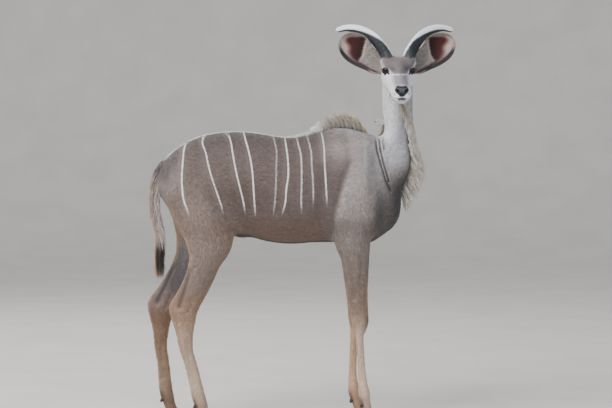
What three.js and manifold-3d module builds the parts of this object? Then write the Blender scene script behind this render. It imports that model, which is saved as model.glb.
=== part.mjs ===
// A young greater kudu bull, life-size, standing with its head turned to its right. Millimetres.
// +X is the way the body faces, +Y is its left, +Z is up, and the hooves stand on z = 0.
import * as THREE from "three";
import { mergeVertices } from "three/addons/utils/BufferGeometryUtils.js";
import Module from "manifold-3d";

const wasm = await Module();
wasm.setup();

// Driving dimensions
const GAP = 0.3; // kept between neighbouring pieces
const EYE_RADIUS = 19;
const EYE_SPREAD = 51; // from the middle of the face to the middle of an eye
const EYE_OUTWARD = 50; // degrees that an eye looks out from straight ahead
const LID_THICKNESS = 3;
const EAR_LENGTH = 212;
const EAR_WALL = 4.5;
const EAR_NOTCH = 0.3; // share that the upper half of an ear loses near the head
const EAR_LOBE = 0.25; // share that its lower half gains at the root
const HORN_KEEL = 0.16; // how far the keel stands out, as a share of the horn's radius
const HORN_RINGS = 8; // growth ridges from the base on
const KNEE_HEIGHT = 508; // where a foreleg is parted above its knee
const HOCK_HEIGHT = 572; // where a hind leg is parted above its hock
const CORONET_HEIGHT = 48;
const HOOF_LENGTH = 88;
const CLAW_SPREAD = 14.5; // from the middle of a foot to the middle of a claw
const FRINGE_LENGTH = 92;
const FRINGE_SWELL = 0.22; // share that the fringe is longer low on the neck
const SHEATH = { middle: [-124, 0, 828], radii: [48, 22, 22] };
const HEAD_PITCH = 17; // degrees that the face points below the level
const HEAD_TURN = 88; // degrees that the head is turned to the right of the body

// The torso: x, height of the back, height of the belly, half width, share narrower above than below.
const TORSO = [
  [-486, 1098, 1030, 24, 0],
  [-474, 1130, 990, 58, 0],
  [-448, 1166, 945, 92, 0.02],
  [-412, 1200, 900, 122, 0.04],
  [-360, 1234, 862, 150, 0.06],
  [-290, 1263, 834, 172, 0.08],
  [-205, 1276, 832, 190, 0.1],
  [-110, 1279, 822, 203, 0.12],
  [-10, 1266, 796, 212, 0.14],
  [90, 1252, 786, 212, 0.16],
  [190, 1274, 792, 198, 0.22],
  [290, 1299, 792, 176, 0.32],
  [370, 1291, 786, 154, 0.36],
  [440, 1271, 792, 130, 0.34],
  [492, 1250, 822, 106, 0.28],
  [535, 1176, 850, 84, 0.18],
  [560, 1060, 884, 56, 0],
  [573, 1000, 914, 28, 0],
];

// The neck: x, y, z of its middle, half depth from nape to throat, half width, degrees turned to the right.
const NECK = [
  [395, 0, 985, 150, 96, 0],
  [452, 0, 1070, 150, 94, 3],
  [510, -3, 1145, 112, 80, 10],
  [545, -9, 1212, 80, 66, 24],
  [557, -17, 1280, 70, 56, 42],
  [555, -30, 1350, 78, 61, 60],
  [552, -46, 1420, 84, 66, 76],
  [549, -62, 1480, 82, 67, 86],
  [548, -76, 1530, 70, 65, 88],
  [547, -84, 1568, 44, 50, 88],
];

// The head, along its own axis from behind the poll to the nose: distance in front of the eyes,
// top and bottom above the line of the eyes, half width, share narrower above than below.
const HEAD = [
  [-140, 0, -44, 22, 0],
  [-130, 20, -72, 44, 0],
  [-105, 36, -92, 58, 0],
  [-70, 46, -103, 67, 0],
  [-32, 53, -107, 69, 0.02],
  [0, 51, -107, 63, 0.08],
  [28, 42, -105, 55, 0.12],
  [62, 29, -98, 49, 0.14],
  [98, 17, -91, 44, 0.16],
  [133, 7, -86, 43, 0.16],
  [162, 0, -84, 43, 0.12],
  [182, -4, -82, 41, 0.06],
  [196, -10, -76, 34, 0],
  [205, -24, -64, 17, 0],
];

// A hind leg: height, back edge, front edge, half width, distance of its middle from the body's.
const HIND_LEG = [
  [1165, -400, -262, 26, 44],
  [1095, -452, -190, 66, 82],
  [995, -454, -152, 92, 105],
  [925, -434, -140, 88, 112],
  [872, -408, -138, 80, 114],
  [812, -370, -150, 69, 113],
  [749, -347, -177, 57, 112],
  [698, -353, -212, 47, 111],
  [646, -371, -236, 39, 110],
  [595, -395, -260, 34, 109],
  [552, -421, -283, 32, 108],
  [522, -434, -299, 33, 108],
  [492, -430, -311, 33, 107],
  [454, -419, -319, 29, 106],
  [411, -406, -327, 25, 106],
  [338, -390, -328, 22, 105],
  [257, -365, -306, 21, 104],
  [190, -350, -289, 23, 103],
  [138, -340, -276, 29, 102],
  [108, -331, -268, 31, 102],
  [78, -319, -262, 26, 101],
  [52, -310, -252, 28, 100],
  [30, -306, -244, 28, 100],
];

// A foreleg: height, back edge, front edge, half width, distance of its middle from the body's.
const FORELEG = [
  [1215, 300, 372, 14, 52],
  [1130, 268, 420, 44, 86],
  [1010, 250, 470, 64, 112],
  [930, 252, 478, 66, 114],
  [860, 262, 457, 60, 110],
  [800, 274, 436, 53, 105],
  [742, 300, 424, 45, 100],
  [687, 312, 422, 39, 97],
  [622, 321, 423, 35, 94],
  [546, 333, 424, 32, 90],
  [495, 345, 426, 33, 88],
  [458, 352, 427, 34, 87],
  [428, 361, 419, 29, 86],
  [398, 367, 407, 24, 85],
  [327, 373, 409, 20, 83],
  [250, 378, 415, 20, 80],
  [187, 380, 424, 23, 77],
  [146, 380, 435, 29, 75],
  [118, 384, 435, 28, 74],
  [84, 398, 442, 24, 73],
  [54, 406, 456, 27, 72],
  [30, 408, 462, 27, 72],
];

// How far the left legs stand behind the right ones: height, shift along x.
const LEFT_HIND_SHIFT = [[0, -154], [119, -154], [281, -133], [381, -118], [523, -107], [659, -86], [750, -68], [950, 0]];
const LEFT_FORE_SHIFT = [[0, -42], [182, -41], [287, -31], [404, -18], [700, 12], [900, 0]];

// The tail: x, z of its middle, half depth, half width.
const TAIL = [
  [-415, 1168, 20, 20],
  [-461, 1122, 23, 22],
  [-492, 1062, 25, 23],
  [-503, 985, 25, 23],
  [-499, 920, 21, 20],
  [-487, 855, 16, 17],
  [-482, 796, 12, 14],
  [-481, 745, 13, 14],
  [-480, 702, 9, 10],
];

// The crest over the withers: x of the root, height of the hair.
const MANE = [[172, 8], [215, 22], [255, 36], [300, 50], [340, 62], [375, 71], [408, 70], [436, 52], [456, 16]];

// A horn's middle from its root to its tip on the right side of the head, and its radius there:
// in front of the eyes, to the left, above the line of the eyes, radius.
const HORN = [
  [-30, -38, 20, 27],
  [-58, -46, 46, 27],
  [-114, -71, 77, 25.5],
  [-168, -101, 96, 23.5],
  [-215, -137, 108, 20.5],
  [-252, -174, 113, 17.5],
  [-274, -210, 111, 14.5],
  [-281, -240, 103, 12],
  [-281, -256, 97, 8.5],
];

// An ear's half width and depth of cup along its length, which is 0 at the root and 1 at the tip.
const EAR = [
  [-0.12, 26, 18],
  [0, 35, 28],
  [0.15, 47, 38],
  [0.32, 58, 42],
  [0.5, 64, 39],
  [0.68, 63, 31],
  [0.82, 54, 21],
  [0.92, 39, 12],
  [0.98, 20, 5],
  [1, 6, 2],
];

// Smooth interpolation: rows hold a knot and then values, and a cubic with the slopes of the neighbours joins them.
function smooth(rows, at) {
  const last = rows.length - 1;
  let i = 0;
  while (i < last - 1 && at > rows[i + 1][0]) i += 1;
  const slope = (j, k) => {
    const before = rows[Math.max(j - 1, 0)];
    const after = rows[Math.min(j + 1, last)];
    return (after[k] - before[k]) / (after[0] - before[0]);
  };
  const span = rows[i + 1][0] - rows[i][0];
  const t = THREE.MathUtils.clamp((at - rows[i][0]) / span, 0, 1);
  return rows[i].slice(1).map((value, index) => {
    const k = index + 1;
    const rise = rows[i + 1][k] - value;
    const a = slope(i, k) * span - rise;
    const b = rise - slope(i + 1, k) * span;
    return value + t * rise + t * (1 - t) * (a * (1 - t) + b * t);
  });
}

// Rows with the way along their own middle line as the knot, in front of the rest.
function alongLine(rows, pointOf) {
  let way = 0;
  return rows.map((row, i) => {
    if (i) way += pointOf(row).distanceTo(pointOf(rows[i - 1]));
    return [way, ...row];
  });
}

function even(count, from, to) {
  return Array.from({ length: count }, (_, i) => from + ((to - from) * i) / (count - 1));
}

const point = (x, y, z) => new THREE.Vector3(x, y, z);

// A solid from a list of points and a list of triangles.
function solidFrom(points, triangles) {
  const make = (faces) =>
    new wasm.Manifold(
      new wasm.Mesh({
        numProp: 3,
        vertProperties: new Float32Array(points.flatMap((p) => [p.x, p.y, p.z])),
        triVerts: new Uint32Array(faces.flat()),
      }),
    );
  const made = make(triangles);
  return made.volume() < 0 ? make(triangles.map(([a, b, c]) => [a, c, b])) : made;
}

// A solid from one of the library's own closed geometries.
function solidOf(geometry) {
  const bare = geometry.clone();
  bare.deleteAttribute("normal");
  bare.deleteAttribute("uv");
  const merged = mergeVertices(bare, 1e-3);
  const places = merged.getAttribute("position");
  const index = merged.getIndex().array;
  const points = even(places.count, 0, places.count - 1).map((i) => new THREE.Vector3().fromBufferAttribute(places, i));
  const triangles = [];
  for (let i = 0; i < index.length; i += 3) {
    const face = [index[i], index[i + 1], index[i + 2]];
    if (new Set(face).size === 3) triangles.push(face);
  }
  return solidFrom(points, triangles);
}

// A closed skin over rings of equally many points, with a fan over each end, the last one out to a tip if one is given.
function skinOver(rings, tip) {
  const sides = rings[0].length;
  const points = rings.flat();
  const triangles = [];
  for (let r = 0; r < rings.length - 1; r += 1) {
    for (let s = 0; s < sides; s += 1) {
      const a = r * sides + s;
      const b = r * sides + ((s + 1) % sides);
      triangles.push([a, b, b + sides], [a, b + sides, a + sides]);
    }
  }
  for (const [ring, turn] of [[0, true], [rings.length - 1, false]]) {
    const middle = points.length;
    const centre = rings[ring].reduce((sum, p) => sum.add(p), point(0, 0, 0)).divideScalar(sides);
    points.push(ring && tip ? tip : centre);
    for (let s = 0; s < sides; s += 1) {
      const a = ring * sides + s;
      const b = ring * sides + ((s + 1) % sides);
      triangles.push(turn ? [middle, b, a] : [middle, a, b]);
    }
  }
  return solidFrom(points, triangles);
}

// A rounded ring: across and along are its two half axes, and narrower is the share that the along side loses.
function ovalRing(middle, across, along, sides, narrower = 0) {
  return even(sides + 1, 0, 2 * Math.PI)
    .slice(0, sides)
    .map((angle) =>
      middle
        .clone()
        .addScaledVector(along, Math.sin(angle))
        .addScaledVector(across, Math.cos(angle) * (1 - narrower * Math.sin(angle))),
    );
}

// The head's own frame, whose origin is between the eyes: x forward, y left and z up.
const headFrame = new THREE.Matrix4()
  .makeTranslation(550, -170, 1536)
  .multiply(new THREE.Matrix4().makeRotationZ(THREE.MathUtils.degToRad(-HEAD_TURN)))
  .multiply(new THREE.Matrix4().makeRotationY(THREE.MathUtils.degToRad(HEAD_PITCH)));
const onHead = (forward, left, up) => point(forward, left, up).applyMatrix4(headFrame);

// The flesh, each with a share of growth in millimetres, so that a neighbour can be cut clear of it.
function torsoSolid(grow = 0) {
  return skinOver(
    even(24, TORSO[0][0], TORSO[TORSO.length - 1][0]).map((x) => {
      const [top, bottom, half, narrower] = smooth(TORSO, x);
      return ovalRing(
        point(x + Math.sign(x) * grow, 0, (top + bottom) / 2),
        point(0, half + grow, 0),
        point(0, 0, (top - bottom) / 2 + grow),
        20,
        narrower,
      );
    }),
  );
}

const neckRows = alongLine(NECK, (row) => point(row[0], row[1], row[2]));
const neckWay = neckRows[neckRows.length - 1][0];

// The neck at a share of its length: its middle, the way to its throat, the way to its left, and its half axes.
function neckAt(share) {
  const [x, y, z, depth, width, turned] = smooth(neckRows, share * neckWay);
  const angle = THREE.MathUtils.degToRad(-turned);
  return {
    middle: point(x, y, z),
    throat: point(Math.cos(angle), Math.sin(angle), 0),
    left: point(-Math.sin(angle), Math.cos(angle), 0),
    depth,
    width,
  };
}

function neckSolid(grow = 0) {
  return skinOver(
    even(17, 0, 1).map((share) => {
      const at = neckAt(share);
      return ovalRing(
        at.middle,
        at.left.multiplyScalar(at.width + grow),
        at.throat.multiplyScalar(at.depth + grow),
        16,
        0.1,
      );
    }),
  );
}

function headSolid(grow = 0) {
  return skinOver(
    even(18, HEAD[0][0], HEAD[HEAD.length - 1][0]).map((forward) => {
      const [top, bottom, half, narrower] = smooth(HEAD, forward);
      return ovalRing(
        point(forward + Math.sign(forward) * grow, 0, (top + bottom) / 2),
        point(0, half + grow, 0),
        point(0, 0, (top - bottom) / 2 + grow),
        16,
        narrower,
      ).map((p) => p.applyMatrix4(headFrame));
    }),
  );
}

// A leg as level slices between its back and front edges. side is -1 for the right leg and 1 for the left.
function legSolid({ rows, shifts, side }, grow = 0) {
  const rising = [...rows].reverse();
  return skinOver(
    even(25, 0, 1).map((share) => {
      const height = rising[0][0] + (rising[rising.length - 1][0] - rising[0][0]) * share ** 1.2;
      const [back, front, half, out] = smooth(rising, height);
      const shift = side > 0 ? smooth(shifts, height)[0] : 0;
      return ovalRing(
        point((back + front) / 2 + shift, side * out, height),
        point(0, half + grow, 0),
        point((front - back) / 2 + grow, 0, 0),
        12,
      );
    }),
  );
}

// Where a leg is parted from the torso: a place and a direction that points down the leg, how far from
// the middle of the body the leg begins, and the way along x in which it stands from the belly.
const FORE_PARTING = { place: point(350, 0, 806), down: point(0.16, 0, -1), inner: 46, from: 100, toward: 1 };
const HIND_PARTING = { place: point(-135, 0, 836), down: point(-0.381, 0, -0.924), inner: 32, from: -60, toward: -1 };

const legs = [["right", -1], ["left", 1]].flatMap(([name, side]) => [
  { name: `foreleg_${name}`, rows: FORELEG, shifts: LEFT_FORE_SHIFT, side, joint: KNEE_HEIGHT, parting: FORE_PARTING },
  { name: `hindleg_${name}`, rows: HIND_LEG, shifts: LEFT_HIND_SHIFT, side, joint: HOCK_HEIGHT, parting: HIND_PARTING },
]);

const joined = (solids) => solids.reduce((sum, solid) => sum.add(solid));
const largest = (solid) => solid.decompose().sort((a, b) => b.volume() - a.volume())[0];

// The solid side of a plane through a place: everything that lies further along the direction, less a small gap.
function beyond(place, direction, gap = GAP / 2) {
  const size = 3000;
  const box = new THREE.BoxGeometry(size, size, size);
  box.translate(0, 0, size / 2 + gap);
  box.applyQuaternion(new THREE.Quaternion().setFromUnitVectors(point(0, 0, 1), direction.clone().normalize()));
  box.translate(place.x, place.y, place.z);
  return solidOf(box);
}

function parted(solid, place, direction) {
  return [
    solid.intersect(beyond(place, direction)),
    solid.intersect(beyond(place, direction.clone().negate())),
  ];
}

function ellipsoid(middle, radii, detail = 12) {
  const geometry = new THREE.SphereGeometry(1, detail, Math.round(detail * 0.7));
  geometry.scale(...radii);
  geometry.translate(...middle);
  return geometry;
}

const onHeadSolid = (geometry) => solidOf(geometry.applyMatrix4(headFrame));

// The head with its lids, nose, mouth and jaw. The sockets are a gap wider than the eyes.
const eyePlace = (side) => [-2, side * EYE_SPREAD, 2];
const eyeball = (side, grow = 0) => onHeadSolid(ellipsoid(eyePlace(side), Array(3).fill(EYE_RADIUS + grow)));

// The bulge of bone over each eye and under each horn.
function brow(side, grow = 0) {
  const orbit = ellipsoid([-12, side * 48, 17], [30 + grow, 20 + grow, 15 + grow], 8);
  const underHorn = ellipsoid([-50, side * 44, 25], [44 + grow, 29 + grow, 32 + grow], 8);
  return onHeadSolid(orbit).add(onHeadSolid(underHorn));
}

// The slit between the lids, an almond set square to the way that the eye looks.
function lidOpening(side) {
  const almond = ellipsoid([EYE_RADIUS - 4, 0, 0], [13, 16.5, 9.5], 10);
  almond.rotateX(side * 0.14);
  almond.rotateZ(side * THREE.MathUtils.degToRad(EYE_OUTWARD));
  almond.translate(...eyePlace(side));
  return onHeadSolid(almond);
}

function detailedHead() {
  const mouth = new THREE.BoxGeometry(84, 90, 2.4);
  mouth.rotateY(THREE.MathUtils.degToRad(-6));
  mouth.translate(172, 0, -62);
  const pad = onHeadSolid(ellipsoid([192, 0, -25], [13, 26, 17], 10));
  let head = headSolid().add(pad).subtract(onHeadSolid(mouth).subtract(headSolid(-5)));
  for (const side of [-1, 1]) {
    const nostril = ellipsoid([0, 0, 0], [9, 8, 4], 7);
    nostril.rotateX(side * -0.5);
    nostril.rotateZ(side * -0.5);
    nostril.translate(201, side * 18, -23);
    head = head.add(brow(side)).add(eyeball(side, LID_THICKNESS));
    head = head.subtract(lidOpening(side)).subtract(eyeball(side, GAP)).subtract(onHeadSolid(nostril));
  }
  return head;
}

// A horn: a round section with a keel that winds round it, and growth ridges that fade towards the tip.
function hornSolid(side, grow = 0) {
  const rows = alongLine(HORN, (row) => point(row[0], row[1], row[2]));
  const length = rows[rows.length - 1][0];
  const place = (way) => {
    const [forward, left, up, radius] = smooth(rows, way);
    return { middle: onHead(forward, -side * left, up), radius };
  };
  const keelAt = onHead(0, 0, 1).sub(onHead(0, 0, 0));
  return skinOver(
    even(24, 0, 1).map((share) => {
      const { middle, radius } = place(share * length);
      const tangent = place(Math.min(share + 0.02, 1) * length).middle.sub(
        place(Math.max(share - 0.02, 0) * length).middle,
      );
      const keel = keelAt.clone().projectOnPlane(tangent).normalize();
      const across = new THREE.Vector3().crossVectors(tangent, keel).normalize();
      const ridge = 1 + 0.035 * (1 - share) * Math.sin(2 * Math.PI * HORN_RINGS * share);
      return even(11, 0, 2 * Math.PI)
        .slice(0, 10)
        .map((angle) => {
          const out = grow + radius * ridge * (1 + HORN_KEEL * Math.max(0, Math.cos(angle)) ** 4);
          return middle
            .clone()
            .addScaledVector(keel, out * Math.cos(angle))
            .addScaledVector(across, out * Math.sin(angle));
        });
    }),
  );
}

const bell = (distance) => Math.exp(-(distance ** 2));

// How wide a half of an ear is, against an even one: upper is 1 on the upper rim and -1 on the lower one.
function earLean(share, upper) {
  const notch = EAR_NOTCH * Math.max(upper, 0) * bell((share - 0.33) / 0.17);
  return 1 - notch + EAR_LOBE * Math.max(-upper, 0) * bell((share - 0.02) / 0.16);
}

// An ear: a cup whose rings are C-shaped, out along its back and home along its inside.
function earSolid(side) {
  const root = point(-78, side * 64, 2);
  const tip = point(-140, side * 233, 97);
  const along = tip.clone().sub(root).normalize();
  const facing = point(0.95, 0, 0.29).projectOnPlane(along).normalize();
  const across = new THREE.Vector3().crossVectors(along, facing);
  const steps = 7;
  const wall = (share, wide, deep, reach) =>
    even(steps, -1, 1).map((t) => {
      const opened = THREE.MathUtils.lerp(1.45, 1.0, THREE.MathUtils.clamp(share, 0, 1));
      const bowl = (Math.cos(t * opened) - Math.cos(opened)) / (1 - Math.cos(opened));
      return root
        .clone()
        .addScaledVector(along, reach * share)
        .addScaledVector(across, (wide * earLean(share, -side * t) * Math.sin(t * opened)) / Math.sin(opened))
        .addScaledVector(facing, -deep * bowl)
        .applyMatrix4(headFrame);
    });
  const rings = even(12, 0, 1).map((part) => {
    const share = EAR[0][0] + (1 - EAR[0][0]) * (1 - (1 - part) ** 1.25);
    const [wide, deep] = smooth(EAR, share);
    const back = wall(share, wide + EAR_WALL * 0.8, deep + EAR_WALL, EAR_LENGTH + EAR_WALL);
    return [...back, ...wall(share, wide, deep, EAR_LENGTH).reverse()];
  });
  const points = rings.flat();
  const size = 2 * steps;
  const triangles = [];
  for (let r = 0; r < rings.length - 1; r += 1) {
    for (let s = 0; s < size; s += 1) {
      const a = r * size + s;
      const b = r * size + ((s + 1) % size);
      triangles.push([a, b, b + size], [a, b + size, a + size]);
    }
  }
  for (const [ring, turn] of [[0, true], [rings.length - 1, false]]) {
    for (let s = 0; s < steps - 1; s += 1) {
      const outer = ring * size + s;
      const inner = ring * size + size - 1 - s;
      const faces = [[outer, outer + 1, inner - 1], [outer, inner - 1, inner]];
      triangles.push(...faces.map(([a, b, c]) => (turn ? [a, c, b] : [a, b, c])));
    }
  }
  return solidFrom(points, triangles);
}

// A flat, tapered lock: four-sided rings from a sunk root to a fine tip, bent along its length.
function lock({ root, way, flat, length, width, thickness = 4, sunk = 12, bend = point(0, 0, 0) }) {
  const forward = way.clone().normalize();
  const side = flat.clone().projectOnPlane(forward).normalize();
  const normal = new THREE.Vector3().crossVectors(forward, side);
  const rings = [-sunk / length, 0.35, 0.72].map((share) => {
    const middle = root
      .clone()
      .addScaledVector(forward, share * length)
      .addScaledVector(bend, length * Math.max(share, 0) ** 2);
    const taper = Math.sqrt(1 - Math.max(share, 0));
    return [
      middle.clone().addScaledVector(side, (width / 2) * taper),
      middle.clone().addScaledVector(normal, (thickness / 2) * taper),
      middle.clone().addScaledVector(side, (-width / 2) * taper),
      middle.clone().addScaledVector(normal, (-thickness / 2) * taper),
    ];
  });
  return skinOver(rings, root.clone().addScaledVector(forward, length).addScaledVector(bend, length));
}

// Seeded draws, so that every build is the same.
function draws(seed) {
  let state = seed;
  return (low, high) => {
    state = (state * 1664525 + 1013904223) % 4294967296;
    return low + ((high - low) * state) / 4294967296;
  };
}

const UP = point(0, 0, 1);
const LEFT = point(0, 1, 0);

// The crest over the withers: a low core along the back, and locks that stand up and lean back.
function withersMane() {
  const draw = draws(7);
  const from = MANE[0][0];
  const to = MANE[MANE.length - 1][0];
  const back = (x) => point(x, 0, smooth(TORSO, x)[0]);
  const tall = (x) => smooth(MANE, x)[0];
  const core = skinOver(
    even(10, from, to).map((x) => ovalRing(back(x), point(0, 14, 0), point(0, 0, 3 + 0.45 * tall(x)), 6)),
  );
  const locks = even(24, from + 16, to - 6).map((x, i) =>
    lock({
      root: back(x).add(point(0, (i % 2 ? 5 : -5) + draw(-1, 1), -2)),
      way: point(-0.3 + draw(-0.08, 0.08), (i % 2 ? 0.09 : -0.09) + draw(-0.05, 0.05), 1),
      flat: point(1, 0.25, 0),
      length: Math.max(tall(x), 18) * draw(0.94, 1.1),
      width: 24,
      thickness: 6,
      bend: point(-0.14, 0, -0.02),
    }),
  );
  return joined([core, ...locks]);
}

// The crest down the nape, whose locks point back and hang a little.
function neckMane() {
  const draw = draws(11);
  const nape = (share) => {
    const at = neckAt(share);
    return at.middle.addScaledVector(at.throat, -at.depth);
  };
  const core = skinOver(
    even(13, 0.34, 0.93).map((share) => {
      const at = neckAt(share);
      const thick = 6 + 8 * Math.sin(Math.PI * (share - 0.34) / 0.59);
      return ovalRing(nape(share), at.left.multiplyScalar(10), at.throat.multiplyScalar(thick), 6);
    }),
  );
  const locks = even(18, 0.37, 0.92).map((share, i) => {
    const at = neckAt(share);
    const back = at.throat.clone().negate();
    return lock({
      root: nape(share).addScaledVector(at.left, (i % 2 ? 4 : -4) + draw(-1, 1)),
      way: back.addScaledVector(UP, draw(-0.5, -0.2)).addScaledVector(at.left, draw(-0.16, 0.16)),
      flat: UP,
      length: THREE.MathUtils.lerp(58, 30, (share - 0.37) / 0.55) * draw(0.85, 1.15),
      width: 29,
      thickness: 6,
      bend: UP.clone().multiplyScalar(-0.3),
    });
  });
  return joined([core, ...locks]);
}

// The fringe down the throat from the chin to the chest.
// Its line leaves the neck at the bottom and runs on down the chest.
function throatLine(share) {
  const jaw = onHead(-8, 0, -107);
  const chest = [point(602, 0, 1050), point(579, 0, 985)];
  const onNeck = even(9, 0.86, 0.3).map((part) => {
    const at = neckAt(part);
    return at.middle.addScaledVector(at.throat, at.depth);
  });
  return new THREE.CatmullRomCurve3([jaw, ...onNeck, ...chest]).getPoint(share);
}

function throatFringe() {
  const draw = draws(23);
  const outward = (share) => {
    const here = throatLine(share);
    const inner = smooth(neckRows.map((row) => [-row[3], row[1], row[2]]).sort((a, b) => a[0] - b[0]), -here.z);
    return point(here.x - inner[0], here.y - inner[1], 0).normalize();
  };
  const core = skinOver(
    even(13, 0.06, 0.985).map((share) => {
      const out = outward(share);
      const side = new THREE.Vector3().crossVectors(UP, out);
      return ovalRing(throatLine(share), side.multiplyScalar(9), out.multiplyScalar(11), 6);
    }),
  );
  const locks = even(27, 0.05, 0.985).map((share, i) => {
    const out = outward(share);
    const side = new THREE.Vector3().crossVectors(UP, out);
    const swell = bell((share - 0.76) / 0.13);
    const long =
      FRINGE_LENGTH * (0.42 + 0.58 * Math.sin(Math.PI * Math.min(share, 0.9) / 1.8) ** 1.5) * (1 + FRINGE_SWELL * swell);
    return lock({
      root: throatLine(share).addScaledVector(side, (i % 2 ? 4 : -4) + draw(-1, 1)),
      way: out
        .clone()
        .multiplyScalar(draw(0.5, 0.72) + FRINGE_SWELL * swell)
        .addScaledVector(UP, -1)
        .addScaledVector(side, draw(-0.16, 0.16)),
      flat: out.clone().addScaledVector(side, draw(-0.5, 0.5)),
      length: long * draw(0.85, 1.15),
      width: 30,
      thickness: 6,
      sunk: 10,
      bend: out.clone().multiplyScalar(-0.12),
    });
  });
  return joined([core, ...locks]);
}

// The tail: a slim core, long locks down its front side and a tuft at its end.
function tailSolid() {
  const draw = draws(5);
  const rows = alongLine(TAIL, (row) => point(row[0], 0, row[1]));
  const length = rows[rows.length - 1][0];
  const at = (share) => {
    const [x, z, depth, width] = smooth(rows, share * length);
    return { middle: point(x, 0, z), depth, width };
  };
  const core = skinOver(
    even(13, 0, 1).map((share) => {
      const { middle, depth, width } = at(share);
      const next = at(Math.min(share + 0.03, 1)).middle.sub(at(Math.max(share - 0.03, 0)).middle);
      const out = new THREE.Vector3().crossVectors(next, LEFT).normalize();
      return ovalRing(middle, point(0, width, 0), out.multiplyScalar(depth), 10);
    }),
  );
  const locks = even(19, 0.3, 0.985).map((share, i) => {
    const turn = i * 2.4;
    const lower = THREE.MathUtils.smoothstep(share, 0.75, 0.9);
    const front = THREE.MathUtils.lerp(0.75 + 0.35 * Math.cos(turn), 1.1 * Math.cos(turn), lower);
    const out = point(front, Math.sin(turn) * 0.7, 0);
    return lock({
      root: at(share).middle.addScaledVector(out, 10),
      way: out.clone().multiplyScalar(0.46).addScaledVector(UP, -1),
      flat: point(-out.y, out.x, 0),
      length: THREE.MathUtils.lerp(88, 68, share) * draw(0.88, 1.08),
      width: 23,
      thickness: 8,
      sunk: 4,
      bend: out.multiplyScalar(-0.24),
    });
  });
  return joined([core, ...locks]);
}

// A hoof: two claws that meet above the cleft, cut level with the ground and parted from the pastern.
function hoofSolid({ rows, shifts, side }) {
  const shift = side > 0 ? smooth(shifts, 0)[0] : 0;
  const [back, front, , out] = smooth([...rows].reverse(), CORONET_HEIGHT);
  const heel = back + 4 + shift;
  const claw = (inner) => {
    const rings = [
      [0, heel, HOOF_LENGTH, 14.2],
      [16, heel - 1, HOOF_LENGTH - 13, 14.2],
      [32, heel - 2, HOOF_LENGTH - 27, 15],
      [CORONET_HEIGHT + 6, heel - 3, front - back + 6, 17],
    ];
    return skinOver(
      rings.map(([height, rear, long, half]) =>
        even(13, 0, 2 * Math.PI).slice(0, 12).map((angle) => {
          const toe = Math.cos(angle);
          const pointed = toe > 0 ? 1 - 0.45 * toe ** 2 : 1;
          return point(
            rear + (long / 2) * (1 + toe),
            side * out + inner * CLAW_SPREAD - inner * 2 * toe + half * Math.sin(angle) * pointed,
            height,
          );
        }),
      ),
    );
  };
  return claw(-1).add(claw(1));
}

// A dewclaw behind the fetlock, two to a foot.
function dewclaws({ rows, shifts, side }) {
  const height = 96;
  const [back, , half, out] = smooth([...rows].reverse(), height);
  const shift = side > 0 ? smooth(shifts, height)[0] : 0;
  return [-1, 1].map((inner) => {
    const claw = ellipsoid([0, 0, 0], [8, 7, 13], 8);
    claw.rotateY(0.5);
    claw.translate(back + shift + 3, side * out + inner * half * 0.6, height - 2);
    return solidOf(claw);
  });
}

// The whole flesh is joined and then parted by thin cuts.
const sheath = solidOf(ellipsoid(SHEATH.middle, SHEATH.radii, 10));
const legSolids = legs.map((leg) => joined([legSolid(leg), ...dewclaws(leg)]));
const clearOfFlesh = joined([
  torsoSolid(GAP),
  neckSolid(GAP),
  headSolid(GAP),
  brow(-1, GAP),
  brow(1, GAP),
  ...legs.map((leg) => legSolid(leg, GAP)),
]);
const pieces = new Map();
const flesh = joined([torsoSolid(), sheath, neckSolid(), ...legSolids]);
const head = detailedHead();

const neckTop = [point(552, -60, 1480), point(0, -0.87, 0.5)];
const neckBase = [point(470, 0, 1262), point(0.846, 0, 0.535)];
const withHead = joined([flesh, head]);
const [headPart, belowHead] = parted(withHead, ...neckTop);
pieces.set("head", largest(headPart));
const [neckPart, belowNeck] = parted(belowHead, ...neckBase);
pieces.set("neck", largest(neckPart));

// The room that a leg takes of the flesh, less a gap all round.
function limbRoom({ parting, side }, gap) {
  return beyond(parting.place, parting.down, gap)
    .intersect(beyond(point(0, side * parting.inner, 0), point(0, side, 0), gap))
    .intersect(beyond(point(parting.from, 0, 0), point(parting.toward, 0, 0), gap));
}

let torso = belowNeck;
for (const leg of legs) {
  const limb = largest(belowNeck.intersect(limbRoom(leg, GAP / 2)));
  const [upper, below] = parted(limb, point(0, 0, leg.joint), UP);
  const [lower] = parted(below, point(0, 0, CORONET_HEIGHT), UP);
  const floorSide = beyond(point(0, 0, CORONET_HEIGHT), UP.clone().negate());
  pieces.set(`${leg.name}_upper`, largest(upper));
  pieces.set(`${leg.name}_lower`, largest(lower));
  pieces.set(`${leg.name}_hoof`, largest(hoofSolid(leg).intersect(floorSide)));
  torso = torso.subtract(limbRoom(leg, -GAP / 2));
}
pieces.set("torso", largest(torso));

for (const [sideName, side] of [["right", -1], ["left", 1]]) {
  pieces.set(`eye_${sideName}`, eyeball(side));
  pieces.set(`horn_${sideName}`, largest(hornSolid(side).subtract(clearOfFlesh)));
  const clear = clearOfFlesh.add(hornSolid(side, GAP));
  pieces.set(`ear_${sideName}`, largest(earSolid(side).subtract(clear)));
}
pieces.set("mane_withers", largest(withersMane().subtract(clearOfFlesh)));
pieces.set("mane_neck", largest(neckMane().subtract(clearOfFlesh)));
pieces.set("fringe_throat", largest(throatFringe().subtract(clearOfFlesh)));
pieces.set("tail", largest(tailSolid().subtract(clearOfFlesh)));

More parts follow.
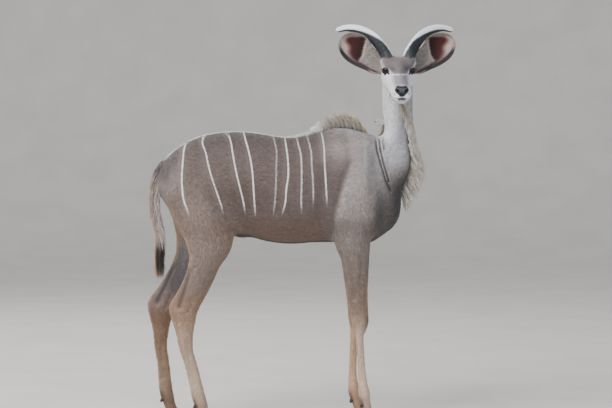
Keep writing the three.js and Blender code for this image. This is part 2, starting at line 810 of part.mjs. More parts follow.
// Colours, roughness
const finishes = {
  hide: new THREE.MeshStandardMaterial({ color: 0x8c7d74, roughness: 0.85 }),
  horn: new THREE.MeshStandardMaterial({ color: 0x4a4743, roughness: 0.5 }),
  hoof: new THREE.MeshStandardMaterial({ color: 0x262322, roughness: 0.55 }),
  eye: new THREE.MeshStandardMaterial({ color: 0x120d0b, roughness: 0.08 }),
  ear: new THREE.MeshStandardMaterial({ color: 0x98857d, roughness: 0.8 }),
  mane: new THREE.MeshStandardMaterial({ color: 0xa59a8c, roughness: 0.85 }),
  fringe: new THREE.MeshStandardMaterial({ color: 0xb9a791, roughness: 0.85 }),
};

function finishOf(name) {
  const kind = Object.keys(finishes).find((word) => name.includes(word));
  return finishes[kind ?? "hide"];
}

function geometryOf(solid) {
  const mesh = solid.getMesh();
  return new THREE.BufferGeometry()
    .setAttribute("position", new THREE.BufferAttribute(new Float32Array(mesh.vertProperties), 3))
    .setIndex(new THREE.BufferAttribute(new Uint32Array(mesh.triVerts), 1));
}

const kudu = new THREE.Group();
kudu.name = "greater_kudu";
for (const [name, solid] of pieces) {
  const mesh = new THREE.Mesh(geometryOf(solid), finishOf(name));
  mesh.name = name;
  kudu.add(mesh);
}

// The origin is on the ground, under the middle of the whole animal.
const extent = new THREE.Box3().setFromObject(kudu);
const middle = extent.getCenter(point(0, 0, 0));
kudu.position.set(-middle.x, -middle.y, -extent.min.z);

export default kudu;
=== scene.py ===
"""A young greater kudu bull: one skin with its coat, long hair, horns, hooves, nose and eyes.

Shapes are worked out in millimetres in the animal's own frame, +X forward, +Y to its left and +Z up, and are
moved into the row frame, in metres, when a mesh is made.
"""

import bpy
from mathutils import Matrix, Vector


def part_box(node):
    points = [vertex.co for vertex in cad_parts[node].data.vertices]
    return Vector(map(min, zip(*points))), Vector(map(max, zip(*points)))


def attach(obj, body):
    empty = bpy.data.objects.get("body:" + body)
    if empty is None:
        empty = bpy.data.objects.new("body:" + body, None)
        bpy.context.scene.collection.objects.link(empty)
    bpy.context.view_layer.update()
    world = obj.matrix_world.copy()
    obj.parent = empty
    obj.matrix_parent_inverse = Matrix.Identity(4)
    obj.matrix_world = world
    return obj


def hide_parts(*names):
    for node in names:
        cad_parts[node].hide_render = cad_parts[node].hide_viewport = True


bl_info = {
    "name": "Greater Kudu",
    "version": (1, 0, 0),
    "blender": (4, 5, 0),
    "location": "View3D > Sidebar > Kudu",
    "description": "Dresses the solids of a young kudu bull in skin, coat, long hair, horn and hoof",
    "category": "Add Mesh",
}

import bmesh
import bpy
import numpy as np
from mathutils import Vector

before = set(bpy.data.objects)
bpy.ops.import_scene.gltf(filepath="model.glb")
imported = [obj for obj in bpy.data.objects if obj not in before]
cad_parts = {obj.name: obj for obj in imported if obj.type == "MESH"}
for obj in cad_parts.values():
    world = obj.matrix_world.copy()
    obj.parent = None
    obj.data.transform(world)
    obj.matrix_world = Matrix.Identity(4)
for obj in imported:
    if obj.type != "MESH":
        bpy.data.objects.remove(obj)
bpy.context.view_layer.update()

# Driving sizes, in millimetres unless said
COAT_DEPTH = 4.0
TORSO_REAR = -486.0
EYE_RADIUS = 19.0
EYE_PLACE = np.array([-2.0, 51.0, 2.0])
EYE_OUTWARD = np.radians(50)
LID_HALF = (16.5, 9.2)
HEAD_PITCH = np.radians(17)
HEAD_TURN = np.radians(88)
HEAD_MIDDLE = np.array([550.0, -170.0, 1536.0])
EAR_ROOT = np.array([-78.0, 64.0, 2.0])
EAR_TIP = np.array([-140.0, 233.0, 97.0])
EAR_LENGTH = 212.0
EAR_WALL = 3.2
EAR_NOTCH = 0.3
EAR_LOBE = 0.25
EAR_ROWS = 64
EAR_STEPS = 35
NOSE_TOP = -10.0
NOSE_HEIGHT = 37.0
HOOF_LENGTH = 88.0
CORONET_HEIGHT = 48.0
CLAW_SPREAD = 14.5
CAMERA_PLACE = np.array([156.0, -10000.0, 1541.0])
CAMERA_DOWN = np.radians(3.32)
CAMERA_LENS = 135.9
LID_NARROWING = 0.35
EAR_FOLD_HEIGHT = 7.0
LOCK_THICKNESS = 0.35
MANE_TUFT = 19.0
EAR_TUFTS = 3600
EAR_LOCKS = 420
LASHES = 46
HAIR_SEED = 31
LASH_SEED = 8
SLIT_TILT = 0.14
DEWCLAW_HEIGHT = 94.0
DEWCLAW_RADII = np.array([7.0, 6.5, 11.5])
DEWCLAW_TILT = 0.5
STRIPE_WHITE = [222, 222, 223]
BACK_LINE_WHITE = [206, 202, 200]
SIDES = ((-1, "right"), (1, "left"))
UP = np.array([0, 0, 1.0])

# The skin with its points and normals, which later pieces are set on
SHARED = {}

# The torso: x, height of the back, height of the belly, half width, share narrower above than below
TORSO = [
    [-486, 1098, 1030, 24, 0],
    [-474, 1130, 990, 58, 0],
    [-448, 1166, 945, 92, 0.02],
    [-412, 1200, 900, 122, 0.04],
    [-360, 1234, 862, 150, 0.06],
    [-290, 1263, 834, 172, 0.08],
    [-205, 1276, 832, 190, 0.1],
    [-110, 1279, 822, 203, 0.12],
    [-10, 1266, 796, 212, 0.14],
    [90, 1252, 786, 212, 0.16],
    [190, 1274, 792, 198, 0.22],
    [290, 1299, 792, 176, 0.32],
    [370, 1291, 786, 154, 0.36],
    [440, 1271, 792, 130, 0.34],
    [492, 1250, 822, 106, 0.28],
    [535, 1176, 850, 84, 0.18],
    [560, 1060, 884, 56, 0],
    [573, 1000, 914, 28, 0],
]

# The neck: x, y, z of its middle, half depth, half width, degrees turned to the right
NECK = [
    [395, 0, 985, 150, 96, 0],
    [452, 0, 1070, 150, 94, 3],
    [510, -3, 1145, 112, 80, 10],
    [545, -9, 1212, 80, 66, 24],
    [557, -17, 1280, 70, 56, 42],
    [555, -30, 1350, 78, 61, 60],
    [552, -46, 1420, 84, 66, 76],
    [549, -62, 1480, 82, 67, 86],
    [548, -76, 1530, 70, 65, 88],
    [547, -84, 1568, 44, 50, 88],
]

# The head: distance in front of the eyes, top and bottom above their line, half width, share narrower above
HEAD = [
    [-140, 0, -44, 22, 0],
    [-130, 20, -72, 44, 0],
    [-105, 36, -92, 58, 0],
    [-70, 46, -103, 67, 0],
    [-32, 53, -107, 69, 0.02],
    [0, 51, -107, 63, 0.08],
    [28, 42, -105, 55, 0.12],
    [62, 29, -98, 49, 0.14],
    [98, 17, -91, 44, 0.16],
    [133, 7, -86, 43, 0.16],
    [162, 0, -84, 43, 0.12],
    [182, -4, -82, 41, 0.06],
    [196, -10, -76, 34, 0],
    [205, -24, -64, 17, 0],
]

# A hind leg: height, back edge, front edge, half width, distance of its middle from the body's
HIND_LEG = [
    [1165, -400, -262, 26, 44],
    [1095, -452, -190, 66, 82],
    [995, -454, -152, 92, 105],
    [925, -434, -140, 88, 112],
    [872, -408, -138, 80, 114],
    [812, -370, -150, 69, 113],
    [749, -347, -177, 57, 112],
    [698, -353, -212, 47, 111],
    [646, -371, -236, 39, 110],
    [595, -395, -260, 34, 109],
    [552, -421, -283, 32, 108],
    [522, -434, -299, 33, 108],
    [492, -430, -311, 33, 107],
    [454, -419, -319, 29, 106],
    [411, -406, -327, 25, 106],
    [338, -390, -328, 22, 105],
    [257, -365, -306, 21, 104],
    [190, -350, -289, 23, 103],
    [138, -340, -276, 29, 102],
    [108, -331, -268, 31, 102],
    [78, -319, -262, 26, 101],
    [52, -310, -252, 28, 100],
    [30, -306, -244, 28, 100],
]

# A foreleg: height, back edge, front edge, half width, distance of its middle from the body's
FORELEG = [
    [1215, 300, 372, 14, 52],
    [1130, 268, 420, 44, 86],
    [1010, 250, 470, 64, 112],
    [930, 252, 478, 66, 114],
    [860, 262, 457, 60, 110],
    [800, 274, 436, 53, 105],
    [742, 300, 424, 45, 100],
    [687, 312, 422, 39, 97],
    [622, 321, 423, 35, 94],
    [546, 333, 424, 32, 90],
    [495, 345, 426, 33, 88],
    [458, 352, 427, 34, 87],
    [428, 361, 419, 29, 86],
    [398, 367, 407, 24, 85],
    [327, 373, 409, 20, 83],
    [250, 378, 415, 20, 80],
    [187, 380, 424, 23, 77],
    [146, 380, 435, 29, 75],
    [118, 384, 435, 28, 74],
    [84, 398, 442, 24, 73],
    [54, 406, 456, 27, 72],
    [30, 408, 462, 27, 72],
]

# How far the left legs stand behind the right ones: height, shift along x
HIND_SHIFT = [
    [0, -154], [119, -154], [281, -133], [381, -118], [523, -107], [659, -86], [750, -68], [950, 0]
]
FORE_SHIFT = [[0, -42], [182, -41], [287, -31], [404, -18], [700, 12], [900, 0]]

# The tail's flesh: x, z of its middle, half depth, half width
TAIL = [
    [-415, 1168, 19, 19],
    [-461, 1122, 20, 19],
    [-492, 1062, 17, 16],
    [-503, 985, 14, 13],
    [-499, 920, 12, 11],
    [-487, 855, 10, 10],
    [-482, 796, 8, 8],
    [-481, 745, 7, 7],
    [-480, 702, 4, 4],
]

# A horn's middle and radius: in front of the eyes, to the left, above their line, radius
HORN = [
    [-30, -38, 20, 27],
    [-58, -46, 46, 27],
    [-114, -71, 77, 25.5],
    [-168, -101, 96, 23.5],
    [-215, -137, 108, 20.5],
    [-252, -174, 113, 17.5],
    [-274, -210, 111, 14.5],
    [-281, -240, 103, 12],
    [-281, -256, 97, 8.5],
]

# An ear: share of its length, half width, depth of its cup, half angle of its section
EAR = [
    [-0.12, 24, 20, 2.3],
    [0, 33, 30, 2.0],
    [0.15, 46, 38, 1.6],
    [0.32, 57, 42, 1.38],
    [0.5, 63, 39, 1.25],
    [0.68, 62, 31, 1.15],
    [0.82, 53, 21, 1.08],
    [0.92, 38, 12, 1.02],
    [0.98, 20, 5, 1.0],
    [1, 4, 1.5, 1.0],
]

# The crest over the withers: x of the root, height of the hair
MANE = [[172, 20], [215, 30], [255, 46], [300, 60], [340, 72], [370, 78], [392, 70], [410, 46], [426, 14]]

# The white stripes on a flank: points of height and x from the lowest up, and how bright the stripe is
STRIPES = [
    (0.95, [(915, -334), (973, -361), (1070, -374), (1155, -371), (1214, -366), (1240, -346)]),
    (0.9, [(925, -196), (964, -205), (1032, -227), (1115, -255), (1192, -274), (1233, -289), (1260, -277)]),
    (0.95, [(925, -102), (986, -111), (1083, -135), (1175, -155), (1242, -169), (1270, -191)]),
    (1.0, [(912, -58), (964, -62), (1032, -66), (1130, -75), (1214, -94), (1276, -116)]),
    (0.45, [(915, 15), (977, 24), (1070, 29), (1138, 30), (1214, 28), (1262, 7)]),
    (1.0, [(915, 46), (964, 67), (1024, 71), (1100, 81), (1184, 76), (1256, 64)]),
    (0.75, [(925, 138), (996, 136), (1075, 138), (1179, 134), (1254, 115)]),
    (0.6, [(958, 187), (1042, 187), (1134, 181), (1198, 177), (1254, 163)]),
    (0.9, [(955, 247), (1042, 242), (1134, 236), (1216, 233), (1276, 223)]),
]

# Muscles and bones under the skin of a side: x, height, half sizes along and up, degrees of tilt, how high
FORMS = [
    [350, 1010, 56, 120, -14, 11],
    [306, 925, 40, 50, 20, 10],
    [330, 1160, 34, 60, -10, 5],
    [430, 1080, 30, 80, 10, 5],
    [395, 955, 34, 60, 0, 5],
    [-190, 1165, 75, 45, -15, -8],
    [-300, 1205, 40, 20, 20, 7],
    [-430, 1105, 24, 30, 0, 5],
    [-142, 862, 34, 26, -35, 7],
    [-260, 900, 62, 90, 20, 12],
    [-210, 985, 40, 60, 10, -5],
    [-372, 960, 14, 110, 18, -6],
    [-60, 900, 120, 60, 0, 5],
    [100, 1120, 90, 70, 0, 4],
    [-70, 1215, 120, 22, 3, -3],
]

# Furrows in the skin of a side: points of x and height, depth, half width, and how much painted shade darkens
# them (below 0, a painted highlight that lightens a ridge)
FURROWS = [
    ([(454, 1264), (462, 1193), (479, 1134), (500, 1064), (520, 1022)], 7.0, 3.8, 0.5),
    ([(461, 1262), (469, 1194), (483, 1137), (504, 1066)], -2.5, 3.0, -0.3),
    ([(469, 1264), (476, 1196), (489, 1142), (511, 1064)], 6.5, 3.6, 0.5),
    ([(477, 1262), (482, 1210), (494, 1150)], -2.5, 3.0, -0.25),
    ([(485, 1266), (488, 1236), (493, 1200)], 5.5, 3.4, 0.4),
    ([(416, 1200), (422, 1110), (436, 1016)], 5.0, 15, 0.12),
    ([(262, 823), (280, 930), (312, 1050), (345, 1145)], 6.0, 12, 0.12),
    ([(-334, 712), (-352, 650), (-368, 590), (-388, 528)], 11.0, 13, 0.38),
    ([(-330, 590), (-340, 545), (-350, 505)], 4.5, 7, 0.1),
    ([(397, 400), (396, 300), (398, 200)], 3.5, 8, 0.06),
    ([(-358, 400), (-350, 300), (-324, 190)], 4.0, 8, 0.07),
    ([(350, 735), (352, 660), (362, 560)], 5.0, 11, 0.06),
    ([(398, 790), (392, 700), (390, 600)], 3.5, 9, 0.05),
    ([(240, 1130), (226, 1010), (210, 880)], 6.0, 15, 0.08),
]

# The face's forms: place in front of the eyes, out and up, half sizes along, out and up, and height
FACE_FORMS = [
    [-42, 66, -62, 34, 24, 26, 4.5],
    [2, 60, -26, 30, 16, 9, 3.0],
    [34, 44, -2, 16, 12, 12, -5.0],
    [150, 38, -40, 26, 14, 10, 3.0],
    [190, 26, -14, 14, 12, 10, 2.5],
    [180, 8, -82, 18, 20, 10, 7.0],
    [60, 40, -48, 40, 16, 16, -2.5],
    [-8, 0, 50, 36, 14, 14, -2.0],
    [110, 0, 12, 60, 12, 12, 1.5],
]

# The legs' colours: height, and red, green and blue
FORELEG_COAT = [
    [0, 124, 102, 88],
    [110, 180, 154, 137],
    [200, 200, 177, 160],
    [400, 202, 178, 161],
    [440, 180, 156, 142],
    [500, 140, 119, 108],
    [600, 125, 109, 100],
    [780, 131, 120, 114],
    [900, 134, 124, 118],
]
HIND_LEG_COAT = [
    [0, 124, 102, 88],
    [110, 162, 139, 122],
    [200, 178, 157, 140],
    [420, 168, 143, 125],
    [520, 145, 118, 102],
    [620, 128, 112, 104],
    [760, 134, 119, 111],
    [900, 132, 117, 110],
]

# The floor and the wall that it rises into: distance to the left, height
FLOOR_PROFILE = [
    [-14000, 0],
    [-4000, 0],
    [4000, 0],
    [8000, 0],
    [9200, 160],
    [10300, 640],
    [11200, 1500],
    [11800, 2700],
    [12000, 4200],
    [12000, 9000],
]

# The rear edge of the pale shoulder: heights, and x at them
BLADE_EDGE = ([823, 930, 1050, 1145, 1300], [262, 280, 312, 345, 330])

# Soft round patches of colour: red, green and blue, middle and half size along x and then in height, strength
SHOULDER_PATCHES = [
    ([154, 146, 146], 300, 75, 1210, 75, 0.8),
    ([176, 172, 176], 330, 110, 1296, 30, 0.85),
    ([138, 130, 126], 350, 90, 850, 90, 0.7),
]
NECK_PATCHES = [
    ([136, 132, 133], 455, 50, 1130, 130, 0.85),
    ([112, 111, 115], 440, 15, 1150, 80, 0.75),
    ([176, 173, 176], 411, 8, 1160, 90, 0.6),
]


def placed(points):
    """Points of the animal's own frame, in millimetres, as metres of the row frame."""
    low, high = (np.array(corner) * 1000 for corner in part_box("torso"))
    shift = np.array([low[0] - TORSO_REAR, (low[1] + high[1]) / 2, 0.0])
    return (np.asarray(points) + shift) / 1000


def smooth(rows, at):
    """Values at places between knots: a cubic that has at each knot the slope between its neighbours."""
    rows = np.asarray(rows, float)
    at = np.asarray(at, float)
    knots, values = rows[:, 0], rows[:, 1:]
    before = np.clip(np.arange(len(rows)) - 1, 0, None)
    after = np.clip(np.arange(len(rows)) + 1, None, len(rows) - 1)
    slopes = (values[after] - values[before]) / (knots[after] - knots[before])[:, None]
    i = np.clip(np.searchsorted(knots, at, side="right") - 1, 0, len(rows) - 2)
    span = (knots[i + 1] - knots[i])[..., None]
    t = np.clip((at - knots[i])[..., None] / span, 0, 1)
    rise = values[i + 1] - values[i]
    bend = (slopes[i] * span - rise) * (1 - t) + (rise - slopes[i + 1] * span) * t
    return values[i] + t * rise + t * (1 - t) * bend


def ease(value, low, high):
    """0 up to low, 1 from high on, and an S between them: 3t squared less 2t cubed."""
    t = np.clip((value - low) / (high - low), 0, 1)
    return t * t * (3 - 2 * t)


def bell(*offsets):
    """1 where every offset is 0, falling away all round: e to the power of minus the sum of squares."""
    return np.exp(-sum(np.square(offset) for offset in offsets))


def oval(dx, dz, angle, long, tall):
    """The offsets from the middle of a tilted oval over its half sizes."""
    return (
        dx * np.cos(angle) + dz * np.sin(angle)
    ) / long, (dz * np.cos(angle) - dx * np.sin(angle)) / tall


def unit(vectors):
    """Vectors over their own lengths."""
    return vectors / np.maximum(np.linalg.norm(vectors, axis=-1, keepdims=True), 1e-9)


def along_line(rows, columns):
    """Rows with the way along the line through their points as a first column."""
    rows = np.asarray(rows, float)
    steps = np.linalg.norm(np.diff(rows[:, columns], axis=0), axis=1)
    return np.column_stack([np.concatenate([[0], np.cumsum(steps)]), rows])


def oval_rings(middle, across, along, sides, narrower=0.0):
    """Rings of points: middle + along * sin + across * cos * (1 - narrower * sin), round each middle."""
    angle = np.arange(sides) * 2 * np.pi / sides
    sine, cosine = np.sin(angle)[None, :, None], np.cos(angle)[None, :, None]
    narrower = np.broadcast_to(narrower, len(middle))[:, None, None]
    return middle[:, None] + along[:, None] * sine + across[:, None] * cosine * (1 - narrower * sine)


def closed_grid(rings):
    """A grid of rings as points and faces: four-sided faces between rings and a fan over each end."""
    count, sides = rings.shape[:2]
    points = with_poles(rings)
    row = (np.arange(count - 1) * sides)[:, None]
    here, after = np.arange(sides), (np.arange(sides) + 1) % sides
    quads = np.stack([row + here, row + after, row + after + sides, row + here + sides], -1).reshape(-1, 4)
    last, hub = (count - 1) * sides, count * sides
    first_fan = np.stack([np.full(sides, hub), after, here], -1)
    last_fan = np.stack([np.full(sides, hub + 1), last + here, last + after], -1)
    return outward(points, [quads, first_fan, last_fan])


def with_poles(grid):
    """Values of a closed grid of rings, with a row for the middle of each end."""
    return np.concatenate([grid.reshape(-1, grid.shape[-1]), grid[[0, -1]].mean(axis=1)])


def outward(points, faces):
    """The same closed shape with its faces pointing out, judged by the sign of its volume."""
    triangles = np.concatenate(
        [face[:, [0, k, k + 1]] for face in faces for k in range(1, face.shape[1] - 1)]
    )
    a, b, c = (points[triangles[:, k]] - points.mean(axis=0) for k in range(3))
    if (a * np.cross(b, c)).sum() < 0:
        faces = [face[:, ::-1] for face in faces]
    return points, faces


def joined(shapes):
    """Several shapes of points and faces as one."""
    points, faces, start = [], [], 0
    for shape_points, shape_faces in shapes:
        points.append(shape_points)
        faces.extend(face + start for face in shape_faces)
        start += len(shape_points)
    return np.concatenate(points), faces


def ellipsoid(middle, radii, rows=14, sides=20):
    """A closed ball stretched to three half sizes."""
    tilt = np.linspace(0.06, np.pi - 0.06, rows)[:, None]
    turn = np.arange(sides)[None] * 2 * np.pi / sides
    sphere = np.stack(
        [np.sin(tilt) * np.cos(turn), np.sin(tilt) * np.sin(turn), np.cos(tilt) + 0 * turn], -1
    )
    return closed_grid(sphere * radii + middle)


def mesh_object(name, points, faces, material=None):
    """A Blender object from points in millimetres of the animal's frame and faces."""
    mesh = bpy.data.meshes.new(name)
    loops = np.concatenate([face.ravel() for face in faces]).astype(np.int32)
    sizes = np.concatenate([np.full(len(face), face.shape[1]) for face in faces])
    mesh.vertices.add(len(points))
    mesh.vertices.foreach_set("co", placed(points).astype(np.float32).ravel())
    mesh.loops.add(len(loops))
    mesh.loops.foreach_set("vertex_index", loops)
    mesh.polygons.add(len(sizes))
    mesh.polygons.foreach_set("loop_start", (np.cumsum(sizes) - sizes).astype(np.int32))
    mesh.polygons.foreach_set("use_smooth", np.ones(len(sizes), bool))
    mesh.update(calc_edges=True)
    if material:
        mesh.materials.append(material)
    thing = bpy.data.objects.new(name, mesh)
    bpy.context.scene.collection.objects.link(thing)
    return thing


def linear_light(colours):
    """Display values from 0 to 255 as linear light from 0 to 1."""
    share = np.clip(np.asarray(colours, float) / 255, 0, 1)
    return np.where(share <= 0.04045, share / 12.92, ((share + 0.055) / 1.055) ** 2.4)


def paint(thing, colours):
    """A colour for each point, given in display values, kept as linear light in the attribute coat."""
    light = linear_light(colours)
    layer = thing.data.attributes.new("coat", "FLOAT_COLOR", "POINT")
    layer.data.foreach_set(
        "color", np.column_stack([light, np.ones(len(light))]).astype(np.float32).ravel()
    )


def mixed(base, colour, share):
    """A blend of colours, point by point."""
    share = np.asarray(share, float)[..., None]
    return np.asarray(base, float) * (1 - share) + np.asarray(colour, float) * share


# The head's own axes: forward, left and up
LEVEL = np.cos(HEAD_PITCH)
FORWARD = np.array([np.cos(HEAD_TURN) * LEVEL, -np.sin(HEAD_TURN) * LEVEL, -np.sin(HEAD_PITCH)])
LEFTWARD = np.array([np.sin(HEAD_TURN), np.cos(HEAD_TURN), 0.0])
HEAD_AXES = np.array([FORWARD, LEFTWARD, np.cross(FORWARD, LEFTWARD)])


def on_head(local):
    """Points given in front of the eyes, to the left and up, in the animal's frame."""
    return np.asarray(local, float) @ HEAD_AXES + HEAD_MIDDLE


def head_local(points):
    """Points of the animal's frame as distances in front of the eyes, to the left and up."""
    return (points - HEAD_MIDDLE) @ HEAD_AXES.T


def on_face(local, ahead):
    """Whether places belong to the head, in front of the given distance."""
    return (local[:, 0] > ahead) & (np.abs(local[:, 1]) < 115) & (local[:, 2] > -125) & (local[:, 2] < 130)


def slices(rows, inset, count, sides):
    """Upright oval slices between a top and a bottom line, drawn in by the inset."""
    x = np.linspace(rows[0][0] + inset, rows[-1][0] - inset, count)
    top, bottom, half, narrower = smooth(rows, x).T
    zero = np.zeros(count)
    middle = np.stack([x, zero, (top + bottom) / 2], -1)
    across = np.stack([zero, half - inset, zero], -1)
    along = np.stack([zero, zero, (top - bottom) / 2 - inset], -1)
    return closed_grid(oval_rings(middle, across, along, sides, narrower))


NECK_LINE = along_line(NECK, [0, 1, 2])


def neck_at(share):
    """The neck's middle, its ways to throat and left, and its half depth and width, at shares of its way."""
    x, y, z, depth, width, turned = smooth(NECK_LINE, np.asarray(share) * NECK_LINE[-1, 0]).T
    angle = np.radians(turned)
    zero = np.zeros_like(x)
    throat = np.stack([np.cos(angle), -np.sin(angle), zero], -1)
    left = np.stack([np.sin(angle), np.cos(angle), zero], -1)
    return np.stack([x, y, z], -1), throat, left, depth[:, None], width[:, None]


def neck_shape(inset, count=60, sides=48):
    """The neck's slices along its bent and twisted middle line."""
    middle, throat, left, depth, width = neck_at(np.linspace(0, 1, count))
    return closed_grid(oval_rings(middle, left * (width - inset), throat * (depth - inset), sides, 0.1))


def throat_line(share):
    """The line that the fringe grows from, down the throat from behind the chin and on over the chest."""
    jaw = on_head([[-8, 0, -104]])
    middle, throat, _, depth, _ = neck_at(np.linspace(0.86, 0.3, 9))
    chest = np.array([[599.0, 0, 1050], [577, 0, 985]])
    line = along_line(np.concatenate([jaw, middle + throat * (depth - COAT_DEPTH), chest]), [0, 1, 2])
    return smooth(line, share * line[-1, 0])


def head_shape(inset):
    """The head's slices along its own axis, with the bulges over the eyes and under the horns."""
    shapes = [slices(HEAD, inset, 64, 48)]
    for side, _ in SIDES:
        shapes.append(ellipsoid([-12, side * 48, 17], np.array([30, 20, 15]) - inset))
        shapes.append(ellipsoid([-46, side * 44, 26], np.array([48, 32, 33])))
    points, faces = joined(shapes)
    return on_head(points), faces


def leg_at(rows, shifts, side, height):
    """A leg's middle, and its half length along x and half width, at heights."""
    back, front, half, out = smooth(rows[::-1], height).T
    shift = smooth(shifts, height)[:, 0] if side > 0 else 0
    return np.stack([(back + front) / 2 + shift, side * out, height], -1), (front - back) / 2, half


def leg_shape(rows, shifts, side, inset, count=110, sides=40):
    """A leg's level slices between its back and front edges."""
    height = np.linspace(rows[-1][0], rows[0][0], count)
    middle, long, half = leg_at(rows, shifts, side, height)
    zero = np.zeros(count)
    across = np.stack([zero, half - inset, zero], -1)
    along = np.stack([long - inset, zero, zero], -1)
    return closed_grid(oval_rings(middle, across, along, sides))


LEGS = [
    (f"{kind}_{name}", rows, shifts, side)
    for kind, rows, shifts in (("foreleg", FORELEG, FORE_SHIFT), ("hindleg", HIND_LEG, HIND_SHIFT))
    for side, name in SIDES
]
TAIL_LINE = along_line(TAIL, [0, 1])


def tail_at(share):
    """The tail's middle, the way out behind it, and its half depth and width, at shares of its length."""
    way = np.asarray(share) * TAIL_LINE[-1, 0]
    x, z, depth, width = smooth(TAIL_LINE, way).T
    ahead = smooth(TAIL_LINE, np.minimum(way + 15, TAIL_LINE[-1, 0]))[:, :2]
    behind = smooth(TAIL_LINE, np.maximum(way - 15, 0))[:, :2]
    run = unit(ahead - behind)
    zero = np.zeros_like(x)
    middle = np.stack([x, zero, z], -1)
    return middle, np.stack([run[:, 1], zero, -run[:, 0]], -1), depth[:, None], width[:, None]


def tail_shape(count=50, sides=20):
    """The tail's flesh, round its bent middle line."""
    middle, behind, depth, width = tail_at(np.linspace(0, 1, count))
    return closed_grid(oval_rings(middle, np.array([0, 1.0, 0]) * width, behind * depth, sides))


def ear_frame(side):
    """An ear's root, and the ways to its tip, across it and out of its cup, in the head's frame."""
    mirror = np.array([1, side, 1])
    root = EAR_ROOT * mirror
    along = unit(EAR_TIP * mirror - root)
    facing = np.array([0.95, 0, 0.29])
    facing = unit(facing - along * (facing @ along))
    return root, along, np.cross(along, facing) * -side, facing


def ear_wall(side, share, t, grow=0.0):
    """A point of an ear's wall: share runs from root to tip, t from the lower rim to the upper one, -1 to 1.

    A slice is an arc of half angle o, at across = wide * sin(o t) / sin(o)
    and facing = -deep * (cos(o t) - cos o) / (1 - cos o).
    """
    root, along, across, facing = ear_frame(side)
    wide, deep, opened = np.moveaxis(smooth(EAR, share), -1, 0)
    reach = np.where(opened > np.pi / 2, 1.0, np.sin(opened))
    bowl = (np.cos(opened * t) - np.cos(opened)) / (1 - np.cos(opened))
    notch = EAR_NOTCH * np.maximum(t, 0) * bell((share - 0.33) / 0.17)
    lobe = EAR_LOBE * np.maximum(-t, 0) * bell((share - 0.02) / 0.16)
    cross = (wide + 0.8 * grow) * (1 - notch + lobe) * np.sin(opened * t) / reach
    local = (
        root
        + along * ((EAR_LENGTH + grow) * share)[..., None]
        + across * cross[..., None]
        - facing * ((deep + grow) * bowl)[..., None]
    )
    return on_head(local)


def fold_edge(up):
    """How far out from the middle of the head the fold inside an ear ends, at heights in the head's frame."""
    return 133 + 0.2 * (95 - up) + 13 * ease(30 - up, 0, 30)


def ear_fold(local, t):
    """How far a place of an ear's inside lies on the raised fold next to the head, which ends sharply."""
    out = np.abs(local[..., 1]) - fold_edge(local[..., 2])
    return (1 - ease(out, -3, 3)) * ease(t, -0.66, -0.5) * (1 - ease(t, 0.8, 0.97))


def on_fold(side, place, t):
    """Places of an ear's inside, raised where they lie on its fold."""
    facing = ear_frame(side)[3] @ HEAD_AXES
    return place + facing * (EAR_FOLD_HEIGHT * ear_fold(head_local(place), t))[..., None]


def ear_shape(side):
    """An ear as one closed shell: out over its back and home over its inside."""
    share = EAR[0][0] + (1 - EAR[0][0]) * (1 - (1 - np.linspace(0, 1, EAR_ROWS)) ** 1.35)
    share, t = np.meshgrid(share, np.linspace(-1, 1, EAR_STEPS), indexing="ij")
    inside = on_fold(side, ear_wall(side, share, t), t)
    return closed_grid(np.concatenate([ear_wall(side, share, t, EAR_WALL), inside[:, ::-1]], axis=1))


def evaluated(thing):
    """The mesh of an object with its modifiers applied, and the object deleted."""
    depsgraph = bpy.context.evaluated_depsgraph_get()
    mesh = bpy.data.meshes.new_from_object(thing.evaluated_get(depsgraph))
    bpy.data.objects.remove(thing)
    return mesh


def unplaced(points):
    """Metres of the row frame as millimetres of the animal's."""
    return np.asarray(points) * 1000 - placed(np.zeros(3)) * 1000


def read_mesh(mesh):
    """A mesh's points, in millimetres of the animal's frame, its edges and the normals of its points."""
    points = np.empty(len(mesh.vertices) * 3)
    mesh.vertices.foreach_get("co", points)
    normals = np.empty(len(mesh.vertices) * 3)
    mesh.vertex_normals.foreach_get("vector", normals)
    edges = np.empty(len(mesh.edges) * 2, np.int32)
    mesh.edges.foreach_get("vertices", edges)
    return unplaced(points.reshape(-1, 3)), edges.reshape(-1, 2), normals.reshape(-1, 3)


def triangles_of(mesh):
    """A mesh's triangles as rows of point numbers."""
    mesh.calc_loop_triangles()
    corners = np.empty(len(mesh.loop_triangles) * 3, np.int32)
    mesh.loop_triangles.foreach_get("vertices", corners)
    return corners.reshape(-1, 3)


def relaxed(points, edges, weight, rounds, back=0.0):
    """Points drawn half way to the middle of their neighbours, and back out by the given share, in rounds."""
    count = len(points)
    ends = np.concatenate([edges[:, 0], edges[:, 1]])
    others = np.concatenate([edges[:, 1], edges[:, 0]])
    degree = np.maximum(np.bincount(ends, minlength=count), 1)[:, None]
    for _ in range(rounds):
        for pull in (0.5, -back) if back else (0.5,):
            total = np.stack([np.bincount(ends, points[others, k], count) for k in range(3)], -1)
            points = points + weight[:, None] * pull * (total / degree - points)
    return points


def line_distance(points, line):
    """How far each point is from a line of straight runs."""
    line = np.asarray(line, float)
    best = np.full(len(points), np.inf)
    for start, end in zip(line[:-1], line[1:]):
        run = end - start
        t = np.clip((points - start) @ run / (run @ run), 0, 1)
        best = np.minimum(best, np.linalg.norm(points - start - t[:, None] * run, axis=1))
    return best


def furrows(points):
    """For each furrow: its depth, a bell over the distance from its line, and how much painted shade darkens
    it.
    """
    found = []
    for line, depth, half, dark in FURROWS:
        seen = points[:, [0, 2]].copy()
        faint = 0.0
        if line[0][1] < 800:
            shifts = HIND_SHIFT if line[0][0] < 0 else FORE_SHIFT
            seen[:, 0] -= smooth(shifts, seen[:, 1])[:, 0] * (points[:, 1] > 0)
            faint = bell(np.linalg.norm(seen - line[0], axis=1) / 32)
        hollow = bell(line_distance(seen, line) / half) * (np.abs(points[:, 1]) > 25)
        found.append((depth, hollow * (1 - faint), dark))
    return found


